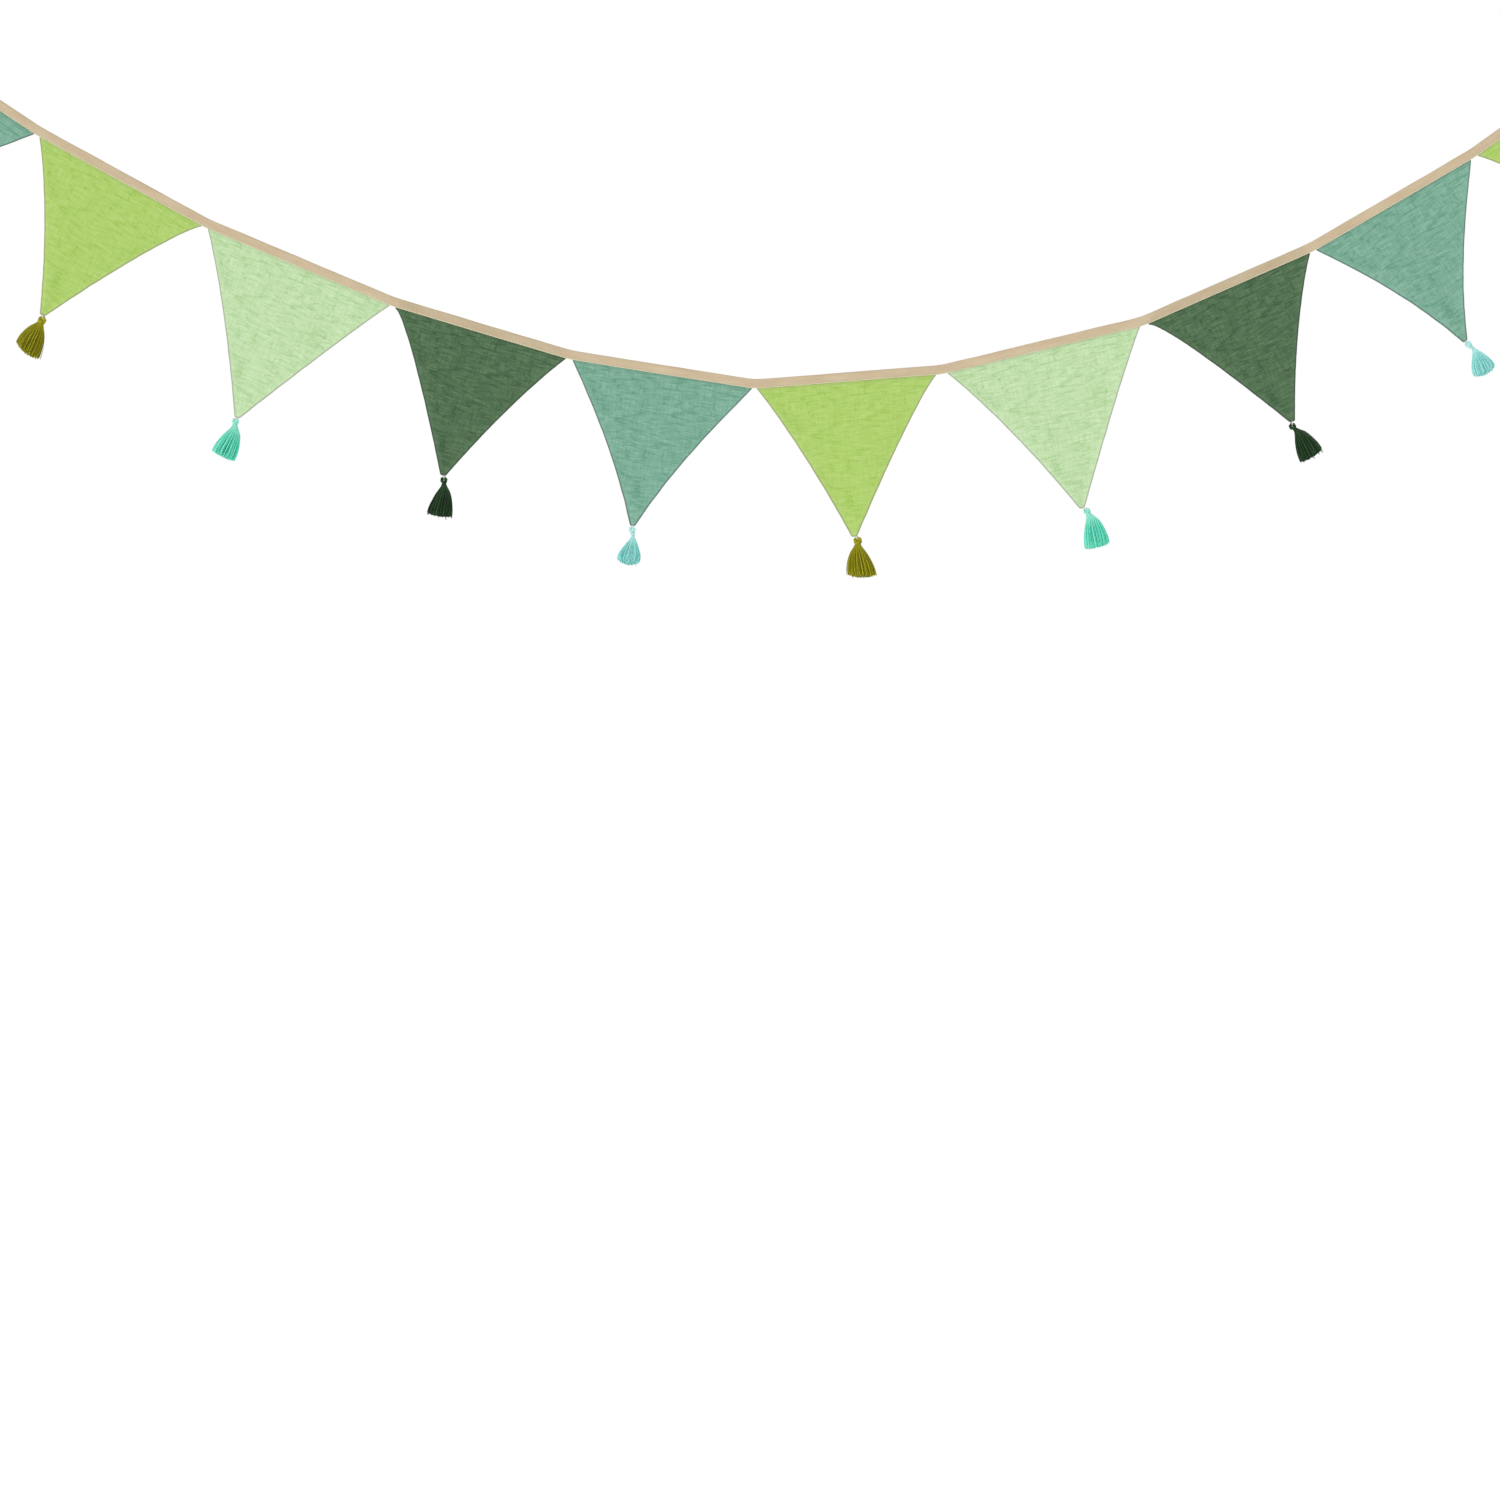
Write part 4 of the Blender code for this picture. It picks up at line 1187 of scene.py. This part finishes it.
# %% Build the thread tree
thread_tree, given = new_tree(
    "thread along lines",
    [
        ("Lines", "Geometry", None),
        ("Thread diameter", "Float", 1 * MM),
        ("Sides", "Int", 6),
        ("Thread", "Material", None),
    ],
)
t = thread_tree
lines = add(t, "GeometryNodeMeshToCurve", {"Mesh": given["Lines"]})
radius = add(t, "ShaderNodeMath", {0: given["Thread diameter"], 1: 0.5}, operation="MULTIPLY")
section = add(t, "GeometryNodeCurvePrimitiveCircle", {"Resolution": given["Sides"], "Radius": radius})
tubes = add(t, "GeometryNodeCurveToMesh", {"Curve": lines, "Profile Curve": section, "Fill Caps": True})
end_tree(t, tubes, given["Thread"])
print("thread tree nodes:", len(t.nodes))

# %% Lay the threads' lines
LOOP_RADIUS = 2.15 * MM  # to the cord's middle
LOOP_REACH = 3.6 * MM  # to its outside, as in the solid
LOOP_PLIES = 3
LOOP_PLY = 1.5 * MM
LOOP_SIZES = {"lime": (1.12, 2.2 * MM)}  # the olive cord is thicker: the ring's scale, and its plies
LOOP_COIL = 1.1 * MM  # from the cord's middle to a ply's
LOOP_DROP = 0.2 * MM  # how far the tie's play lets the ring hang
LOOP_TWISTS = 2  # of the cord, once round the ring
LOOP_POINTS = 54
# The core's painted shade darkens the furrows between the plies.
LOOP_SHADES = (0.0, 0.4, 1.0, 0.0)  # painted light and shade of the plies, and painted shade on the core
BINDING_TURNS = 5
BINDING_PLY = 0.7 * MM
BINDING_PITCH = 0.8 * BINDING_PLY  # the turns lie close on each other
BINDING_TOP = -6.6 * MM
BINDING_HALF = (2.15 * MM, 2.0 * MM)  # half width and half depth of the bound neck
BINDING_LEAN = (0.75, 0.4)  # how far its top and its foot lie towards the ring, as shares
# Painted shade: the binding is drawn dark, like the shaded pinch at the neck.
BINDING_PAINTED_SHADE = 0.1
POINTS_IN_TURN = 18
TIE_TURNS = 3
TIE_THREAD = 0.4 * MM
TIE_POINTS = 20
TIE_DEPTH = 2.4 * MM  # half the depth of a turn, which goes over the cord
TIE_BITE = 1.0 * MM  # above the tip's edge
TIE_END = 2.5 * MM  # below the ring's top
TIE_FAN = (1.3, 0.5)  # how far apart the turns lie in their middle, and how much more in the cloth


def loop_lines():
    """The twisted plies of the ring and the core inside them, in the tassel's own place."""
    plies = []
    for ply in range(LOOP_PLIES + 1):
        line = []
        coil = LOOP_COIL if ply < LOOP_PLIES else 0
        for i in range(LOOP_POINTS):
            round_ring = 2 * math.pi * i / LOOP_POINTS
            twist = LOOP_TWISTS * round_ring + 2 * math.pi * ply / LOOP_PLIES
            radius = LOOP_RADIUS + coil * math.cos(twist)
            height = radius * math.cos(round_ring) - LOOP_REACH - LOOP_DROP
            line.append(Vector((radius * math.sin(round_ring), coil * math.sin(twist), height)))
        plies.append(line)
    return plies


def binding_line(aside):
    """The thread wound round the neck, in the skirt's own place. The ring hangs this far to its left."""
    line = []
    last = BINDING_TURNS * POINTS_IN_TURN
    for i in range(last + 1):
        turn = 2 * math.pi * i / POINTS_IN_TURN
        top, foot = BINDING_LEAN
        x = BINDING_HALF[0] * math.cos(turn) - aside * (top + (foot - top) * i / last)
        z = BINDING_TOP - BINDING_PITCH * i / POINTS_IN_TURN
        line.append(Vector((x, BINDING_HALF[1] * math.sin(turn), z)))
    return [line]


def tie_lines(cloth, ring):
    """Turns of sewing thread through the cloth at one point and round the ring at another."""
    middle, half = (cloth + ring) / 2, (cloth - ring) / 2
    aside = Vector((half.z, 0, -half.x)).normalized()
    turns = []
    for turn in range(TIE_TURNS):
        offset = (turn - (TIE_TURNS - 1) / 2) * TIE_THREAD
        line = []
        for i in range(TIE_POINTS):
            angle = 2 * math.pi * i / TIE_POINTS
            fanned = aside * offset * (TIE_FAN[0] + TIE_FAN[1] * math.cos(angle))
            through = Vector((0, TIE_DEPTH * math.sin(angle), 0))
            line.append(middle + half * math.cos(angle) + fanned + through)
        turns.append(line)
    return turns


print("points in a ring:", sum(len(line) for line in loop_lines()))

# %% Say how the tassels differ
TASSEL_THREADS = {"teal": "ice", "lime": "olive", "mint": "aqua", "forest": "forest"}
# Each skirt's width and length, how late it spreads (above 1 is later), and the rounding and slant of its
# cut edge; how far right of its line the ring and the skirt hang and how far the ends sway, in mm; and
# its strays.
Skirt = namedtuple("Skirt", "width length droop rounding slant ring aside sway strays")
SKIRTS = {
    "teal_1": Skirt(0.92, 0.97, 1.85, 0.12, 0.0, -0.6, 2.0, -0.8, 3),
    "lime_1": Skirt(1.09, 1.03, 0.86, 0.12, 0.06, 0.6, 0.8, 0.8, 2),
    "mint_1": Skirt(0.98, 1.03, 0.92, 0.05, 0.01, -1.1, 2.5, -0.9, 2),
    "forest_1": Skirt(0.98, 1.0, 1.1, 0.06, 0.0, -0.3, 1.8, -1.6, 5),
    "teal_2": Skirt(0.9, 0.97, 1.9, 0.14, 0.0, -0.9, 1.7, -1.1, 3),
    "lime_2": Skirt(1.1, 1.03, 0.98, 0.09, 0.05, 0.6, -0.5, 1.3, 2),
    "mint_2": Skirt(0.98, 1.03, 0.86, 0.05, -0.01, 0.3, 3.8, -0.7, 2),
    "forest_2": Skirt(0.97, 1.01, 1.08, 0.07, -0.02, -1.8, 1.3, 0.0, 5),
    "teal_3": Skirt(0.91, 0.96, 1.9, 0.14, 0.0, -0.6, 2.8, -1.0, 3),
    "lime_3": Skirt(1.07, 1.0, 0.92, 0.09, 0.03, 0.5, 0.0, 0.8, 2),
}
print("skirts:", len(SKIRTS))

# %% Hang the tassels
skirts, heads, ties = {}, {}, {}
for seed, pennant in enumerate(ROW, 1):
    own, tip = SKIRTS[pennant.name], tips[pennant.name]
    thread = viscoses[TASSEL_THREADS[pennant.cloth]]
    loop_size, loop_ply = LOOP_SIZES.get(pennant.cloth, (1, LOOP_PLY))
    along_tape, below_tape = directions(pennant.slope)
    right, down = directions(pennant.tassel_hangs)
    turn = -math.radians(pennant.tassel_hangs)
    eye = tip + along_tape * pennant.tassel_shift + below_tape * (LOOP_REACH + GAP)
    place = eye - down * LOOP_REACH
    turned = Matrix.Rotation(turn, 4, "Y")
    ring_place = Matrix.Translation(place + right * own.ring * MM) @ turned @ Matrix.Scale(loop_size, 4)
    skirt_place = Matrix.Translation(place + right * own.aside * MM) @ turned
    apart = (own.aside - own.ring) * MM
    skirts[pennant.name] = run_tree(
        f"skirt_{pennant.name}",
        skirt_tree,
        {
            "Half width": SKIRT_HALF[0] * own.width,
            "Length": SKIRT_LENGTH * own.length,
            "Rounding": own.rounding,
            "Slant": own.slant,
            "Droop": own.droop,
            "Aside": apart,
            "Sway": own.sway * MM,
            "Strays": float(own.strays),
            "Place": tuple(skirt_place.translation),
            "Turn": (0, turn, 0),
            "Seed": seed,
            "Thread": thread,
        },
    )
    plies = [[ring_place @ point for point in line] for line in loop_lines()]
    ring = run_tree(
        f"loop_{pennant.name}",
        thread_tree,
        {"Thread": thread, "Thread diameter": loop_ply},
        lines_mesh("ring", plies, closed=True, shades=LOOP_SHADES),
    )
    wound = [[skirt_place @ point for point in line] for line in binding_line(apart)]
    neck = run_tree(
        f"binding_{pennant.name}",
        thread_tree,
        {"Thread": thread, "Thread diameter": BINDING_PLY},
        lines_mesh("neck", wound, shades=[BINDING_PAINTED_SHADE]),
    )
    heads[pennant.name] = (ring, neck)
    bite = tip - below_tape * TIE_BITE + along_tape * pennant.tassel_shift / 3
    on_ring = ring_place @ Vector((0, 0, -TIE_END))
    ties[pennant.name] = run_tree(
        f"tie_{pennant.name}",
        thread_tree,
        {"Thread": cotton_white, "Thread diameter": TIE_THREAD},
        lines_mesh("tie", tie_lines(bite, on_ring), closed=True),
    )
print("skirt faces:", sum(len(obj.data.polygons) for obj in skirts.values()))
print("head faces:", sum(len(obj.data.polygons) for pair in heads.values() for obj in pair))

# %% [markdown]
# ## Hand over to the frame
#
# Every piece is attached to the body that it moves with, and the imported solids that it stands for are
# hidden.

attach(tape, "root")
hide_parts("tape")
for row_of_stitches in stitches.values():
    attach(row_of_stitches, "root")
for pennant in ROW:
    cloth = pennants[pennant.name]
    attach(cloth, "root")
    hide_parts(f"pennant_{pennant.name}")
    thread_pieces = [skirts[pennant.name], *heads[pennant.name]]
    for piece in thread_pieces:
        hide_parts(f"tassel_{pennant.name}")
    with_it = [*thread_pieces, ties[pennant.name]]
    for piece in with_it:
        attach(piece, "root")
